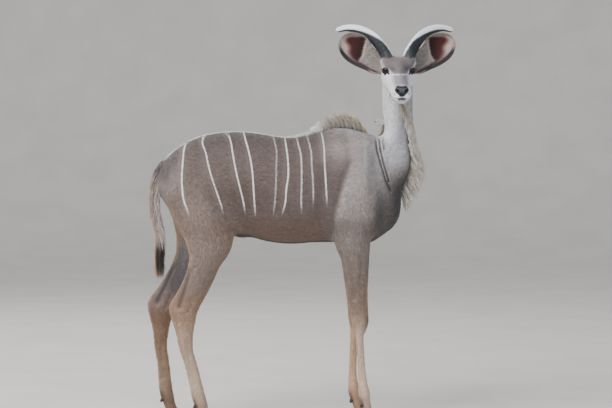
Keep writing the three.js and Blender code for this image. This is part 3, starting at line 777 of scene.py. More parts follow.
def body_relief(points, normals):
    """How far the muscles, ribs and furrows of the body raise the skin: a sum of bells."""
    raised = np.zeros(len(points))
    facing = ease(np.abs(normals[:, 1]), 0.15, 0.6)
    for x, z, long, tall, tilt, height in FORMS:
        form = bell(*oval(points[:, 0] - x, points[:, 2] - z, np.radians(tilt), long, tall))
        raised += height * form * facing * (np.abs(points[:, 1]) > 25)
    for depth, hollow, _ in furrows(points):
        raised -= depth * hollow * facing
    ribs = np.cos((points[:, 0] + 0.25 * (points[:, 2] - 1000)) * 2 * np.pi / 42)
    barrel = bell((points[:, 0] - 60) / 130, (points[:, 2] - 960) / 110)
    return raised + 0.9 * ribs * barrel * facing


def eye_axes(side):
    """The way an eye looks, and the ways along and up its slit, in the head's frame."""
    look = unit(np.array([np.cos(EYE_OUTWARD), side * np.sin(EYE_OUTWARD), 0.02]))
    level = unit(np.cross(UP, look)) * -side
    rise = np.cross(look, level) * np.sign(np.cross(look, level)[2])
    cosine, sine = np.cos(SLIT_TILT), np.sin(SLIT_TILT)
    return look, level * cosine + rise * sine, rise * cosine - level * sine


def lid_share(local, side):
    """How far out from the middle of an eye's slit a point is, 1 on the lids' edge, and the way to it."""
    look, level, rise = eye_axes(side)
    away = local - EYE_PLACE * [1, side, 1]
    along, up = away @ level / LID_HALF[0], away @ rise / LID_HALF[1]
    almond = np.sqrt(along**2 + (up * (1 + LID_NARROWING * along**2)) ** 2)
    return np.where(away @ look > 0, almond, 9.0), away


def mouth_distance(local):
    """How far above the line of the lips a point is, and whether it is in front of the mouth's corner."""
    line = -60 + 0.10 * (205 - local[:, 0])
    return local[:, 2] - line, ease(local[:, 0], 126, 140)


def nose_width(up):
    """Half the width of the bare nose at a height: widest by the nostrils, narrow towards the lip."""
    down = np.clip((NOSE_TOP - up) / NOSE_HEIGHT, 0, 1)
    return 22 + 7 * ease(down, 0, 0.35) - 18.5 * ease(down, 0.42, 1.0)


def head_relief(points):
    """The face's own forms, as moved points: lids over the eyes, cheeks, nose, lips, chin and throat."""
    local = head_local(points)
    near = (local[:, 0] > -120) & (np.abs(local[:, 1]) < 110) & (np.abs(local[:, 2]) < 130)
    part = local[near]
    outward_way = unit(part * [0.15, 1, 1] - np.array([0, 0, -32]))
    raised = np.zeros(len(part))
    width = np.abs(part[:, 1])
    for ahead, out, up, long, wide, tall, height in FACE_FORMS:
        raised += height * bell((part[:, 0] - ahead) / long, (width - out) / wide, (part[:, 2] - up) / tall)
    lip, within = mouth_distance(part)
    raised -= 4.5 * within * bell(lip / 2.2)
    raised += 1.8 * within * (bell((lip - 7) / 5) + bell((lip + 6) / 4))
    part = part + outward_way * raised[:, None]
    up = part[:, 2]
    sunk = ease(part[:, 0], 172, 186) * ease(nose_width(up) - 1 - width, 0, 4)
    part[:, 0] -= 9 * sunk * ease(-9 - up, 0, 4) * ease(up + 46, 0, 4)
    for side, _ in SIDES:
        share, away = lid_share(part, side)
        radius = np.linalg.norm(away, axis=1)
        lid = EYE_RADIUS + 0.7 + 1.9 * bell((share - 1.16) / 0.16)
        drape = lid + (np.maximum(radius, lid) - lid) * ease(share, 1.1, 2.1)
        target = np.where(share < 2.1, drape, np.maximum(radius, EYE_RADIUS + 1))
        target = np.where(share < 1, EYE_RADIUS - 3.5, target)
        part = part + unit(away) * (target - radius)[:, None] * (radius < 45)[:, None]
    moved = points.copy()
    moved[near] = on_head(part)
    return moved


def finer(mesh, wanted):
    """Cuts the wanted faces in four, and makes triangles of what that leaves with more than four sides."""
    work = bmesh.new()
    work.from_mesh(mesh)
    chosen = wanted(unplaced([face.calc_center_median() for face in work.faces]))
    edges = {edge for face, take in zip(work.faces, chosen) if take for edge in face.edges}
    bmesh.ops.subdivide_edges(work, edges=list(edges), cuts=1, use_grid_fill=True)
    bmesh.ops.triangulate(work, faces=[face for face in work.faces if len(face.verts) > 4])
    work.to_mesh(mesh)
    work.free()
    mesh.update()


def set_points(mesh, points):
    """Puts points, in millimetres of the animal's frame, into a mesh."""
    mesh.vertices.foreach_set("co", placed(points).astype(np.float32).ravel())
    mesh.update()


class Spines:
    """Middle lines of the parts, which give each place its part, the lie of its coat and its flat place."""

    # Corner and size of each part's own patch of the flat map: torso, neck, head, four legs and tail
    PATCHES = [
        (0, 0, 0.66, 0.5),
        (0.68, 0, 0.3, 0.3),
        (0.68, 0.32, 0.3, 0.3),
        *((left, 0.52, 0.16, 0.46) for left in (0, 0.17, 0.34, 0.51)),
        (0.68, 0.64, 0.3, 0.16),
    ]

    def __init__(self):
        self.parts = []
        left = [0, 1.0, 0]
        x = np.linspace(-470, 540, 40)
        top, bottom, half, _ = smooth(TORSO, x).T
        self.add(
            np.stack([x, 0 * x, (top + bottom) / 2], -1), (half + (top - bottom) / 2) / 2, [-1, 0, -0.22],
            left
        )
        middle, _, neck_left, depth, width = neck_at(np.linspace(0.12, 0.97, 30))
        self.add(middle, ((depth + width) / 2)[:, 0], -np.gradient(middle, axis=0), neck_left)
        ahead = np.linspace(-90, 195, 24)
        top, bottom, half, _ = smooth(HEAD, ahead).T
        middle = on_head(np.stack([ahead, 0 * ahead, (top + bottom) / 2], -1))
        self.add(middle, (half + (top - bottom) / 2) / 2, -FORWARD + [0, 0, 0.15], LEFTWARD)
        for _, rows, shifts, side in LEGS:
            middle, long, half = leg_at(rows, shifts, side, np.linspace(40, 980, 60))
            self.add(middle, (long + half) / 2 * 1.05, -np.gradient(middle, axis=0), left)
        middle, _, depth, width = tail_at(np.linspace(0.1, 1, 24))
        self.add(middle, ((depth + width) / 2 + 6)[:, 0], np.gradient(middle, axis=0), left)

    def add(self, middle, radius, lie, opening):
        """One part: its middle line and radius, the lie of its coat and where its flat map opens."""
        lie, opening = (np.broadcast_to(np.asarray(way, float), middle.shape) for way in (lie, opening))
        self.parts.append((middle, radius, unit(lie), opening))

    def read(self, points):
        """For each point: its share of each part, the lie of its coat, and its place in the flat map."""
        closeness, lies, maps = [], [], []
        for (middles, radii, lie, opening), (left, low, wide, tall) in zip(self.parts, self.PATCHES):
            away = np.linalg.norm(points[:, None] - middles[None], axis=2)
            near = np.argmin(away / radii, axis=1)
            closeness.append(away[np.arange(len(points)), near] / radii[near])
            lies.append(lie[near])
            out = points - middles[near]
            along = (near + np.clip((out * lie[near]).sum(1) / 40, -0.5, 0.5)) / len(middles)
            third = np.cross(lie[near], opening[near])
            angle = np.arctan2((out * opening[near]).sum(1), (out * third).sum(1)) / (2 * np.pi) + 0.5
            across, up = 0.02 + 0.96 * np.clip(along, 0, 1), 0.02 + 0.96 * angle
            maps.append(np.stack([left + wide * across, low + tall * up], -1))
        closeness = np.stack(closeness, -1)
        share = np.exp(-7 * (closeness - closeness.min(axis=1, keepdims=True)))
        share /= share.sum(axis=1, keepdims=True)
        lie = unit((np.stack(lies, 1) * share[..., None]).sum(axis=1))
        best = np.argmin(closeness, axis=1)
        return share, lie, np.stack(maps, 1)[np.arange(len(points)), best]


def stripe_share(points, half=2.7):
    """How far a place of a flank lies within a white stripe, from 0 to 1."""
    share = np.zeros(len(points))
    for strength, line in STRIPES:
        low, high = line[0][0], line[-1][0]
        x = smooth(line, points[:, 2])[:, 0]
        ends = ease(points[:, 2], low - 6, low + 60) * (1 - ease(points[:, 2], high + 30, high + 50))
        share = np.maximum(
            share, strength * ends * (1 - ease(np.abs(points[:, 0] - x), half - 1.5, half + 2))
        )
    return share * (np.abs(points[:, 1]) > 12)


def back_line_share(points):
    """The white line along the ridge of the back, from the tail to the withers."""
    along = ease(points[:, 0], -474, -440) * (1 - ease(points[:, 0], 190, 250))
    top = points[:, 2] > 1090
    wide = 3 + 4 * ease(points[:, 0], -300, 100)
    return along * top * (1 - ease(np.abs(points[:, 1]), wide, wide + 6))


def patched(colour, x, z, patches):
    """A colour with soft round patches laid over it in turn."""
    for tint, x_middle, x_half, z_middle, z_half, strength in patches:
        colour = mixed(colour, tint, bell((x - x_middle) / x_half, (z - z_middle) / z_half) * strength)
    return colour


def trunk_colour(x, z, normals):
    """Brown-grey flanks, darker along the back, the rump and the chest, paler over the shoulder, and with
    painted shade on the chest's forward-facing front.
    """
    colour = mixed([95.0, 83, 80], [85, 76, 75], ease(z, 1160, 1270) * (1 - ease(x, 180, 330)))
    colour = mixed(colour, [114, 94, 84], (1 - ease(z, 830, 960)) * (1 - ease(x, 180, 260)))
    colour = mixed(colour, [132, 117, 110], bell((x + 300) / 120, (z - 900) / 130))
    colour = mixed(colour, [126, 114, 110], ease(-x, 330, 430) * ease(z, 950, 1050))
    colour = mixed(colour, [78, 67, 63], bell((x + 120) / 130, (z - 1000) / 90) * 0.7)
    rump = (1 - ease(np.abs(normals[:, 1]), 0.6, 0.88)) * ease(-x, 350, 410) * ease(z, 1040, 1100)
    colour = mixed(colour, [92, 83, 83], rump * 0.9)
    blade = ease(
        x - np.interp(z, *BLADE_EDGE), -14, 16
    ) * bell(np.maximum(x - 400, 0) / 60) * ease(z, 850, 930)
    colour = patched(mixed(colour, [151, 142, 140], blade), x, z, SHOULDER_PATCHES)
    colour = mixed(colour, [94, 87, 86], ease(x, 480, 540) * (1 - ease(z, 1020, 1110)))
    # Painted shade on the chest where it faces forward, under the neck
    front = ease(x, 430, 480) * ease(normals[:, 0], 0.4, 0.85) * (1 - ease(z, 1040, 1110))
    return mixed(colour, [60, 57, 59], front * 0.85)


def neck_colour(points, normals, neck, colour):
    """The pale neck laid over a colour, with painted shade at the throat and where it faces forward, and a
    painted shadow beside the fringe.
    """
    x, _, z = points.T
    # Painted shade: the neck darkens where it faces the throat's way and, below the head, where it faces
    # forward, and stays pale where it faces back
    throat = ease(normals @ unit(np.array([0.85, -0.5, 0.0])), 0.0, 0.75)
    shade = ease(normals[:, 0], -0.75, 0.0) * (1 - ease(z, 1370, 1440))
    colour = mixed(colour, [244, 246, 252], neck)
    colour = mixed(colour, [146, 148, 155], neck * np.maximum(0.8 * throat, 0.85 * shade))
    colour = patched(colour, x, z, NECK_PATCHES)
    # Painted shadow of the fringe: a dark strip on the skin beside its roots
    near = line_distance(points, throat_line(np.linspace(0.04, 0.8, 24)))
    return mixed(colour, [88, 86, 90], bell((near - 13) / 6) * (1 - ease(z, 1330, 1390)) * 0.8)


def leg_colour(points, normals, fore, hind, creases, colour):
    """The legs laid over a colour: painted shade on their inner faces, greyish blue above, tan along the
    edges, dark at the knee and above the claws, and painted shade in their furrows.
    """
    y, z = points[:, 1], points[:, 2]
    low = 1 - ease(z, 760, 880)
    colour = mixed(colour, smooth(FORELEG_COAT, z), fore * low)
    colour = mixed(colour, smooth(HIND_LEG_COAT, z), hind * low)
    # Painted shade on the inner faces, where the legs face each other: darker low down, greyish blue above
    inner = ease(-normals[:, 1] * np.sign(y), 0.1, 0.6) * (np.abs(y) < 160)
    inside = mixed([0.93, 0.86, 0.79], [0.74, 0.7, 0.67], hind)
    inside = mixed(inside, [0.86, 0.92, 1.01], ease(z, 440, 540))
    colour = mixed(colour, colour * inside, inner * (hind + fore) * (1 - ease(z, 760, 860)))
    calm = 1 - 0.6 * ease(np.max([hollow for _, hollow, _ in creases], axis=0), 0.05, 0.7)
    rear = ease(-normals[:, 0], 0.45, 0.95) * calm
    colour = mixed(
        colour, [190, 150, 120], rear * hind * ease(z, 470, 540) * (1 - ease(z, 960, 1080)) * 0.6
    )
    edge = ease(np.abs(normals[:, 0]), 0.5, 0.9) * (1 - ease(z, 560, 680)) * calm
    colour = mixed(colour, [196, 152, 122], edge * (hind + fore) * ease(z, 120, 200) * 0.45)
    front = ease(normals[:, 0], 0.35, 0.9) * calm
    colour = mixed(colour, [150, 116, 94], front * hind * ease(z, 560, 640) * (1 - ease(z, 820, 900)) * 0.5)
    knee = bell((z - 458) / 36) * ease(normals[:, 0], 0.3, 0.9) * fore
    colour = mixed(colour, [104, 84, 74], knee * 0.6)
    cleft = bell((z - 108) / 30) * ease(-normals[:, 0], 0.1, 0.8) * (fore + hind)
    colour = mixed(colour, [60, 50, 45], cleft * 0.6)
    # Painted shade in the legs' furrows, as dark as the darkest furrow at each place
    painted_crease_shade = np.maximum(np.max([hollow * dark for _, hollow, dark in creases], axis=0), 0)
    return colour * (1 - painted_crease_shade * (fore + hind) * low)[:, None]


def coat_colour(points, normals, share, striped=True):
    """The coat's colour at places of the skin, in display values from 0 to 255, with painted shade in the
    furrows, under the belly and down the chest.
    """
    x, y, z = points.T
    creases = furrows(points)
    colour = neck_colour(points, normals, share[:, 1], trunk_colour(x, z, normals))
    # Painted shade in each furrow, and a painted highlight on the ridges whose darkness is below 0
    for _, hollow, dark in creases:
        colour = colour * (1 - dark * hollow)[:, None]
    colour = leg_colour(
        points, normals, share[:, 3] + share[:, 4], share[:, 5] + share[:, 6], creases, colour
    )
    # Painted shade on the underside of the belly, where it faces down
    under = ease(-normals[:, 2], 0.6, 0.95) * (np.abs(y) < 70) * ease(x, -180, -120) * (z < 860)
    colour = mixed(colour, [62, 52, 47], under * 0.8)
    # Painted shade down the middle of the chest and between the forelegs
    keel = bell(y / 26) * ease(x, 380, 470) * (1 - ease(z, 1080, 1150))
    colour = mixed(colour, [54, 53, 54], keel * 0.85)
    colour = mixed(colour, [205, 200, 196], share[:, 7] * ease(normals[:, 0], 0.0, 0.7) * (z < 1120))
    if striped:
        colour = mixed(colour, STRIPE_WHITE, stripe_share(points) * (1 - share[:, 1]))
        colour = mixed(colour, BACK_LINE_WHITE, back_line_share(points) * 0.8 * (1 - share[:, 7]))
    return face_colour(points, colour, share[:, 2])


def face_colour(points, colour, head):
    """The face's markings over a colour: dark brow, white bars, pale cheeks, dark mouth, nose and lids."""
    local = head_local(points)
    ahead, width, up = local[:, 0], np.abs(local[:, 1]), local[:, 2]
    height = points[:, 2]
    bridge = (1 - ease(width, 18, 44)) * ease(up, -40, -5) * ease(205 - ahead, 0, 20)
    face = mixed([240.0, 240, 245], [146, 140, 147], bridge)
    wide = 42 + 26 * ease(height, 1537, 1552)
    brow = (1 - ease(width, wide - 6, wide + 10)) * ease(height, 1522, 1528) * ease(up, 0, 25)
    face = mixed(face, [116, 108, 109], brow)
    face = mixed(face, [74, 70, 77], brow * bell((height - 1541) / 13) * ease(width, 10, 32) * 0.9)
    face = mixed(face, [158, 146, 136], ease(-ahead, 30, 70) * ease(up, 10, 40))
    bar = bell(((height - 1521) / 2.6) ** 2) * (1 - ease(width, 28, 44)) * ease(width, 1, 5) * (ahead > 5)
    face = mixed(face, [236, 238, 244], bar * 0.9)
    face = mixed(face, [176, 174, 176], ease(-up, 66, 98) * (1 - ease(ahead, 120, 150)))
    face = mixed(face, [236, 240, 245], ease(ahead, 140, 170) * ease(-up, 28, 46))
    lip, within = mouth_distance(local)
    line = bell(lip / (4 + 2.5 * (width < 15))) * (1 - 0.75 * ease(width, 12, 20) * ease(ahead, 158, 175))
    face = mixed(face, [30, 26, 28], within * line * 0.95)
    split = bell(width / 2.0) * ease(ahead, 180, 190) * (up > -62) * (up < -40)
    face = mixed(face, [40, 36, 38], split * 0.85)
    corner = bell((ahead - 150) / 16, (up + 66) / 9) * ease(width, 20, 32)
    face = mixed(face, [104, 84, 78], corner * 0.75)
    beside = bell((up + 40) / 8, (width - 30) / 5) * ease(ahead, 160, 176)
    face = mixed(face, [150, 132, 126], beside * 0.6)
    pad = ease(ahead, 172, 184) * ease(nose_width(up) + 1.5 - width, 0, 2.5) * ease(up, -50, -46)
    face = mixed(face, [34, 32, 36], pad * ease(-7 - up, 0, 3))
    for side, _ in SIDES:
        share, _ = lid_share(local, side)
        ring = bell((share - 2.0) / 0.35) * 0.4 * (1 - ease(height, 1538, 1548))
        face = mixed(face, [226, 226, 228], ring)
        spot = np.linalg.norm(local[:, 1:] - [side * 66, 22], axis=1) / 9
        face = mixed(face, [196, 194, 196], (1 - ease(spot, 0.5, 1.3)) * (ahead > -60) * 0.7)
        tear = np.linalg.norm((local - [21, side * 41, -4]) / [11, 8, 5], axis=1)
        face = mixed(face, [34, 28, 28], 1 - ease(tear, 0.6, 1.3))
        face = mixed(face, [22, 18, 18], 1 - ease(share, 1.34, 1.72))
    return mixed(colour, face, ease(head, 0.35, 0.75))


def ear_colour(local, t, inside):
    """An ear's colour: grey behind, and in the cup a beige rim, a dark red hollow and a pale fold, with
    painted shadow beside the fold and under the lower rim.
    """
    out, up = np.abs(local[..., 1]), local[..., 2]
    low = 1 - ease(up, 34, 62)
    back = mixed([112.0, 104, 100], [44, 42, 44], ease(-t, 0.2, 0.7) * ease(out, 90, 120) * low)
    cup = mixed([146.0, 131, 127], [124, 113, 111], ease(t, 0.3, 0.8))
    cup = mixed(cup, [176, 158, 152], bell((out - 225) / 16, (up - 70) / 40) * 0.7)
    edge = fold_edge(up)
    reach = 190 + 30 * bell((up - 92) / 24) + 14 * bell((up - 42) / 22) - 28 * ease(25 - up, 0, 30)
    hollow = ease(out, edge, edge + 5) * (1 - ease(out, reach - 18, reach + 16)) * (1 - ease(up, 100, 114))
    cup = mixed(cup, [56, 20, 20], hollow)
    # Painted shadow of the fold: the darkest red just beyond its edge
    cup = mixed(cup, [32, 14, 15], bell((out - edge - 15) / 18) * hollow * ease(up, -4, 20) * 0.85)
    cup = mixed(cup, [166, 138, 134], (1 - ease(out, 150, 185)) * ease(-t, 0.6, 0.75))
    fold = ear_fold(local, t)
    cup = mixed(cup, [130, 121, 119], fold)
    cup = mixed(cup, [172, 162, 159], bell((out - edge + 3) / 3.5) * fold * 0.8)
    # Painted shadow under the cup's lower rim: a dark line along it
    cup = mixed(cup, [52, 38, 38], bell((t + 0.6) / 0.11) * (1 - ease(out, 160, 185)) * 0.9)
    cup = mixed(cup, [38, 36, 39], ease(-t, 0.6, 0.74) * ease(out, 108, 132) * (1 - ease(up, 44, 78)))
    return np.where(np.asarray(inside)[..., None], cup, back)


def node(tree, kind, settings=None, **inputs):
    """A shader node with its settings, and its inputs given as values or as the outputs that feed them."""
    made = tree.nodes.new(kind)
    for key, value in (settings or {}).items():
        setattr(made, key, value)
    for key, value in inputs.items():
        name = key.replace("_", " ")
        socket = made.inputs[int(key[1:])] if key[0] == "i" and key[1:].isdigit() else made.inputs[name]
        if isinstance(value, bpy.types.NodeSocket):
            tree.links.new(value, socket)
        else:
            socket.default_value = value
    return made


def object_places(tree):
    """The shaded place in the object's own frame."""
    return node(tree, "ShaderNodeTexCoord").outputs["Object"]


def attribute(tree, name, output="Color"):
    """What an attribute of the mesh holds at the shaded place."""
    return node(tree, "ShaderNodeAttribute", {"attribute_name": name}).outputs[output]


def new_material(name, roughness, **fixed):
    """A material with a Principled shader whose fixed sockets are set, and its node tree and shader."""
    material = bpy.data.materials.new(name)
    material.use_nodes = True
    shader = material.node_tree.nodes["Principled BSDF"]
    shader.inputs["Roughness"].default_value = roughness
    for key, value in fixed.items():
        shader.inputs[key.replace("_", " ")].default_value = value
    return material, material.node_tree, shader


def noise(tree, places, scale, detail=3.0, stretch=None):
    """A noise value on places, which may be stretched first."""
    if stretch:
        places = node(tree, "ShaderNodeMapping", Vector=places, Scale=stretch).outputs["Vector"]
    return node(tree, "ShaderNodeTexNoise", Vector=places, Scale=scale, Detail=detail).outputs["Fac"]


def maths(tree, operation, first, second=0.0):
    """A Math node's value."""
    return node(tree, "ShaderNodeMath", {"operation": operation}, i0=first, i1=second).outputs[0]


def ranged(tree, value, low, high, to_low=0.0, to_high=1.0, curve="SMOOTHSTEP"):
    """A value carried from one range to another along a curve."""
    inputs = {"Value": value, "From_Min": low, "From_Max": high, "To_Min": to_low, "To_Max": to_high}
    return node(tree, "ShaderNodeMapRange", {"interpolation_type": curve}, **inputs).outputs["Result"]


def mix_colour(tree, factor, first, second, blend="MIX"):
    """Two colours mixed: they are a Mix node's inputs 6 and 7, and its output 2 is the result."""
    settings = {"data_type": "RGBA", "blend_type": blend}
    return node(tree, "ShaderNodeMix", settings, i0=factor, i6=first, i7=second).outputs[2]


def dimmed(tree, colour, shade):
    """A colour times a grey shade."""
    grey = node(tree, "ShaderNodeCombineXYZ", X=shade, Y=shade, Z=shade).outputs[0]
    return mix_colour(tree, 1.0, colour, grey, "MULTIPLY")


def linear(colour):
    """A display colour from 0 to 255 as linear light with full cover."""
    return (*linear_light(colour), 1.0)


def stripe_nodes(tree, places):
    """The white stripes as a value: each is a curve of x over height, and a place's distance from it."""
    split = node(tree, "ShaderNodeSeparateXYZ", Vector=places).outputs
    total = None
    span = (0.85, 1.3)
    reach = (-0.6, 0.6)
    height = ranged(tree, split["Z"], *span, curve="LINEAR")
    shift = placed(np.zeros(3))
    for strength, line in STRIPES:
        curve = tree.nodes.new("ShaderNodeFloatCurve")
        knots = curve.mapping.curves[0].points
        at = np.linspace(line[0][0] - 20, line[-1][0] + 20, 9)
        spots = [(z / 1000 - span[0]) / (span[1] - span[0]) for z in at]
        x = smooth(line, at)[:, 0] / 1000 + shift[0]
        values = [(value - reach[0]) / (reach[1] - reach[0]) for value in x]
        while len(knots) < len(spots):
            knots.new(0.5, 0.5)
        for knot, spot, value in zip(knots, spots, values):
            knot.location = (spot, value)
        curve.mapping.update()
        tree.links.new(height, curve.inputs["Value"])
        centre = maths(
            tree, "ADD", maths(tree, "MULTIPLY", curve.outputs[0], reach[1] - reach[0]), reach[0]
        )
        away = maths(tree, "ABSOLUTE", maths(tree, "SUBTRACT", split["X"], centre))
        rough = maths(
            tree, "MULTIPLY", maths(tree, "SUBTRACT", noise(tree, places, 260.0, 2.0), 0.5), 0.004
        )
        band = ranged(tree, maths(tree, "ADD", away, rough), 0.0020, 0.0045, strength, 0.0)
        low, high = line[0][0] / 1000, line[-1][0] / 1000
        ends = maths(
            tree, "MULTIPLY", ranged(tree, split["Z"], low - 0.006, low + 0.06),
            ranged(tree, split["Z"], high + 0.05, high + 0.03)
        )
        value = maths(tree, "MULTIPLY", band, ends)
        total = value if total is None else maths(tree, "MAXIMUM", total, value)
    return total


def skin_material():
    """The hide: the painted colour with fine hair streaks, the white stripes, and hair and skin relief."""
    material, tree, shader = new_material(
        "hide", 0.72, Sheen_Weight=0.18, Sheen_Roughness=0.5, Specular_IOR_Level=0.25
    )
    places = object_places(tree)
    colour = attribute(tree, "coat")
    upright = attribute(tree, "upright", "Fac")
    level = noise(tree, places, 1.0, 4.0, (90.0, 420.0, 420.0))
    tall = noise(tree, places, 1.0, 4.0, (420.0, 420.0, 90.0))
    hair = maths(
        tree, "ADD", maths(tree, "MULTIPLY", level, maths(tree, "SUBTRACT", 1.0, upright)),
        maths(tree, "MULTIPLY", tall, upright)
    )
    mottled = noise(tree, places, 26.0, 5.0)
    shade = maths(
        tree, "ADD", ranged(tree, hair, 0.3, 0.7, 0.84, 1.14), ranged(tree, mottled, 0.3, 0.7, -0.05, 0.05)
    )
    colour = dimmed(tree, colour, shade)
    marks = maths(tree, "MULTIPLY", stripe_nodes(tree, places), attribute(tree, "flank", "Fac"))
    colour = mix_colour(tree, marks, colour, linear(STRIPE_WHITE))
    tree.links.new(colour, shader.inputs["Base Color"])
    bump = node(tree, "ShaderNodeBump", Strength=0.35, Distance=0.0012, Height=hair)
    wide = node(
        tree, "ShaderNodeBump", Strength=0.4, Distance=0.003, Height=noise(tree, places, 60.0, 3.0),
        Normal=bump.outputs[0]
    )
    tree.links.new(wide.outputs[0], shader.inputs["Normal"])
    return material


def hair_material(name, roughness=0.6):
    """Hair in its painted colour, a little darker and lighter from lock to lock."""
    material, tree, shader = new_material(name, roughness, Specular_IOR_Level=0.3, Sheen_Weight=0.1)
    places = object_places(tree)
    colour = attribute(tree, "coat")
    shade = ranged(tree, noise(tree, places, 140.0, 3.0), 0.3, 0.7, 0.86, 1.12)
    tree.links.new(dimmed(tree, colour, shade), shader.inputs["Base Color"])
    return material


def horn_material():
    """Horn: painted pale above, partly its own pale keel and partly painted sky light, and dark below, with
    fine length-wise cracks and growth rings.
    """
    material, tree, shader = new_material("horn", 0.46, Specular_IOR_Level=0.3)
    places = object_places(tree)
    colour = attribute(tree, "coat")
    around = attribute(tree, "grain", "Vector")
    streaks = noise(tree, around, 1.0, 5.0, (7.0, 60.0, 1.0))
    shade = ranged(tree, streaks, 0.3, 0.7, 0.72, 1.16)
    tree.links.new(dimmed(tree, colour, shade), shader.inputs["Base Color"])
    rough = ranged(tree, noise(tree, places, 60.0, 4.0), 0.3, 0.7, 0.34, 0.58)
    tree.links.new(rough, shader.inputs["Roughness"])
    bump = node(tree, "ShaderNodeBump", Strength=0.5, Distance=0.0012, Height=streaks)
    tree.links.new(bump.outputs[0], shader.inputs["Normal"])
    return material


def hoof_material():
    """Dull black horn with level growth lines, dusty at the sole."""
    material, tree, shader = new_material("hoof", 0.5, Specular_IOR_Level=0.4)
    places = object_places(tree)
    lines = noise(tree, places, 1.0, 3.0, (30.0, 30.0, 420.0))
    height = node(tree, "ShaderNodeSeparateXYZ", Vector=places).outputs["Z"]
    dust = maths(
        tree, "MULTIPLY", ranged(tree, height, 0.022, 0.0),
        ranged(tree, noise(tree, places, 90.0), 0.35, 0.65)
    )
    horn = mix_colour(tree, ranged(tree, lines, 0.3, 0.7), linear([34, 31, 30]), linear([62, 56, 53]))
    tree.links.new(
        mix_colour(tree, maths(tree, "MULTIPLY", dust, 0.6), horn, linear([132, 112, 96])),
        shader.inputs["Base Color"]
    )
    bump = node(tree, "ShaderNodeBump", Strength=0.5, Distance=0.001, Height=lines)
    tree.links.new(bump.outputs[0], shader.inputs["Normal"])
    return material


def nose_material():
    """The bare black nose: wet leather with a fine grain of plates."""
    material, tree, shader = new_material("nose", 0.4, Specular_IOR_Level=0.35)
    places = object_places(tree)
    plates = node(
        tree, "ShaderNodeTexVoronoi", {"feature": "DISTANCE_TO_EDGE"}, Vector=places, Scale=620.0
    ).outputs["Distance"]
    cover = ranged(tree, plates, 0.0, 0.12)
    painted = attribute(tree, "coat")
    colour = mix_colour(tree, cover, linear([13, 12, 14]), painted)
    tree.links.new(colour, shader.inputs["Base Color"])
    bump = node(tree, "ShaderNodeBump", Strength=0.6, Distance=0.0006, Height=cover)
    tree.links.new(bump.outputs[0], shader.inputs["Normal"])
    return material


def eye_material():
    """A dark brown iris with a level oval pupil, wet and shining."""
    material, tree, shader = new_material("eye", 0.1, Specular_IOR_Level=0.28)
    colour = attribute(tree, "coat")
    places = object_places(tree)
    shade = ranged(tree, noise(tree, places, 900.0, 4.0), 0.3, 0.7, 0.7, 1.3)
    tree.links.new(dimmed(tree, colour, shade), shader.inputs["Base Color"])
    return material


def flat_map(thing, corners, places):
    """The flat map: each triangle's corners spread 0.003 round its tuft's flat place."""
    layer = thing.data.uv_layers.new(name="OFBake")
    spread = np.array([[-1, -1], [1, -1], [0, 1], [-0.4, 0.3], [0.5, 0.1], [0, -0.2]]) * 0.0015
    vertices = np.empty(len(thing.data.loops), np.int32)
    thing.data.loops.foreach_get("vertex_index", vertices)
    flat = places[vertices // corners] + spread[(vertices % corners) % len(spread)]
    layer.data.foreach_set("uv", np.clip(flat, 0, 1).astype(np.float32).ravel())


def tuft_object(name, roots, normals, lie, length, width, lift, colours, flat, material, rng):
    """Short tufts: thin closed wedges with two sunk corners and a raised one at the root, and a tip."""
    lie = unit(lie - normals * (lie * normals).sum(1, keepdims=True))
    side = np.cross(normals, lie)
    turn = rng.normal(0, 0.14, len(roots))[:, None]
    lie = unit(lie + side * turn)
    side = np.cross(normals, lie)
    half = side * (width / 2)[:, None]
    tip = roots + unit(lie + normals * lift[:, None]) * length[:, None]
    low = roots - normals * 0.9
    points = np.stack(
        [low - half, low + half, roots + normals * 0.5 + lie * (0.25 * length)[:, None], tip], 1
    )
    lean = normals + side * rng.normal(0, 0.16, len(roots))[:, None]
    shade = unit(np.stack([lean - 0.3 * side, lean + 0.3 * side, lean + 0.1 * lie, lean + 0.25 * lie], 1))
    start = (np.arange(len(roots)) * 4)[:, None, None]
    wedge = np.array([[0, 2, 1], [0, 1, 3], [1, 2, 3], [2, 0, 3]])[None]
    thing = mesh_object(name, points.reshape(-1, 3), [(start + wedge).reshape(-1, 3)], material)
    thing.data.normals_split_custom_set_from_vertices(shade.reshape(-1, 3))
    paint(thing, np.repeat(colours, 4, axis=0))
    flat_map(thing, 4, flat)
    return thing


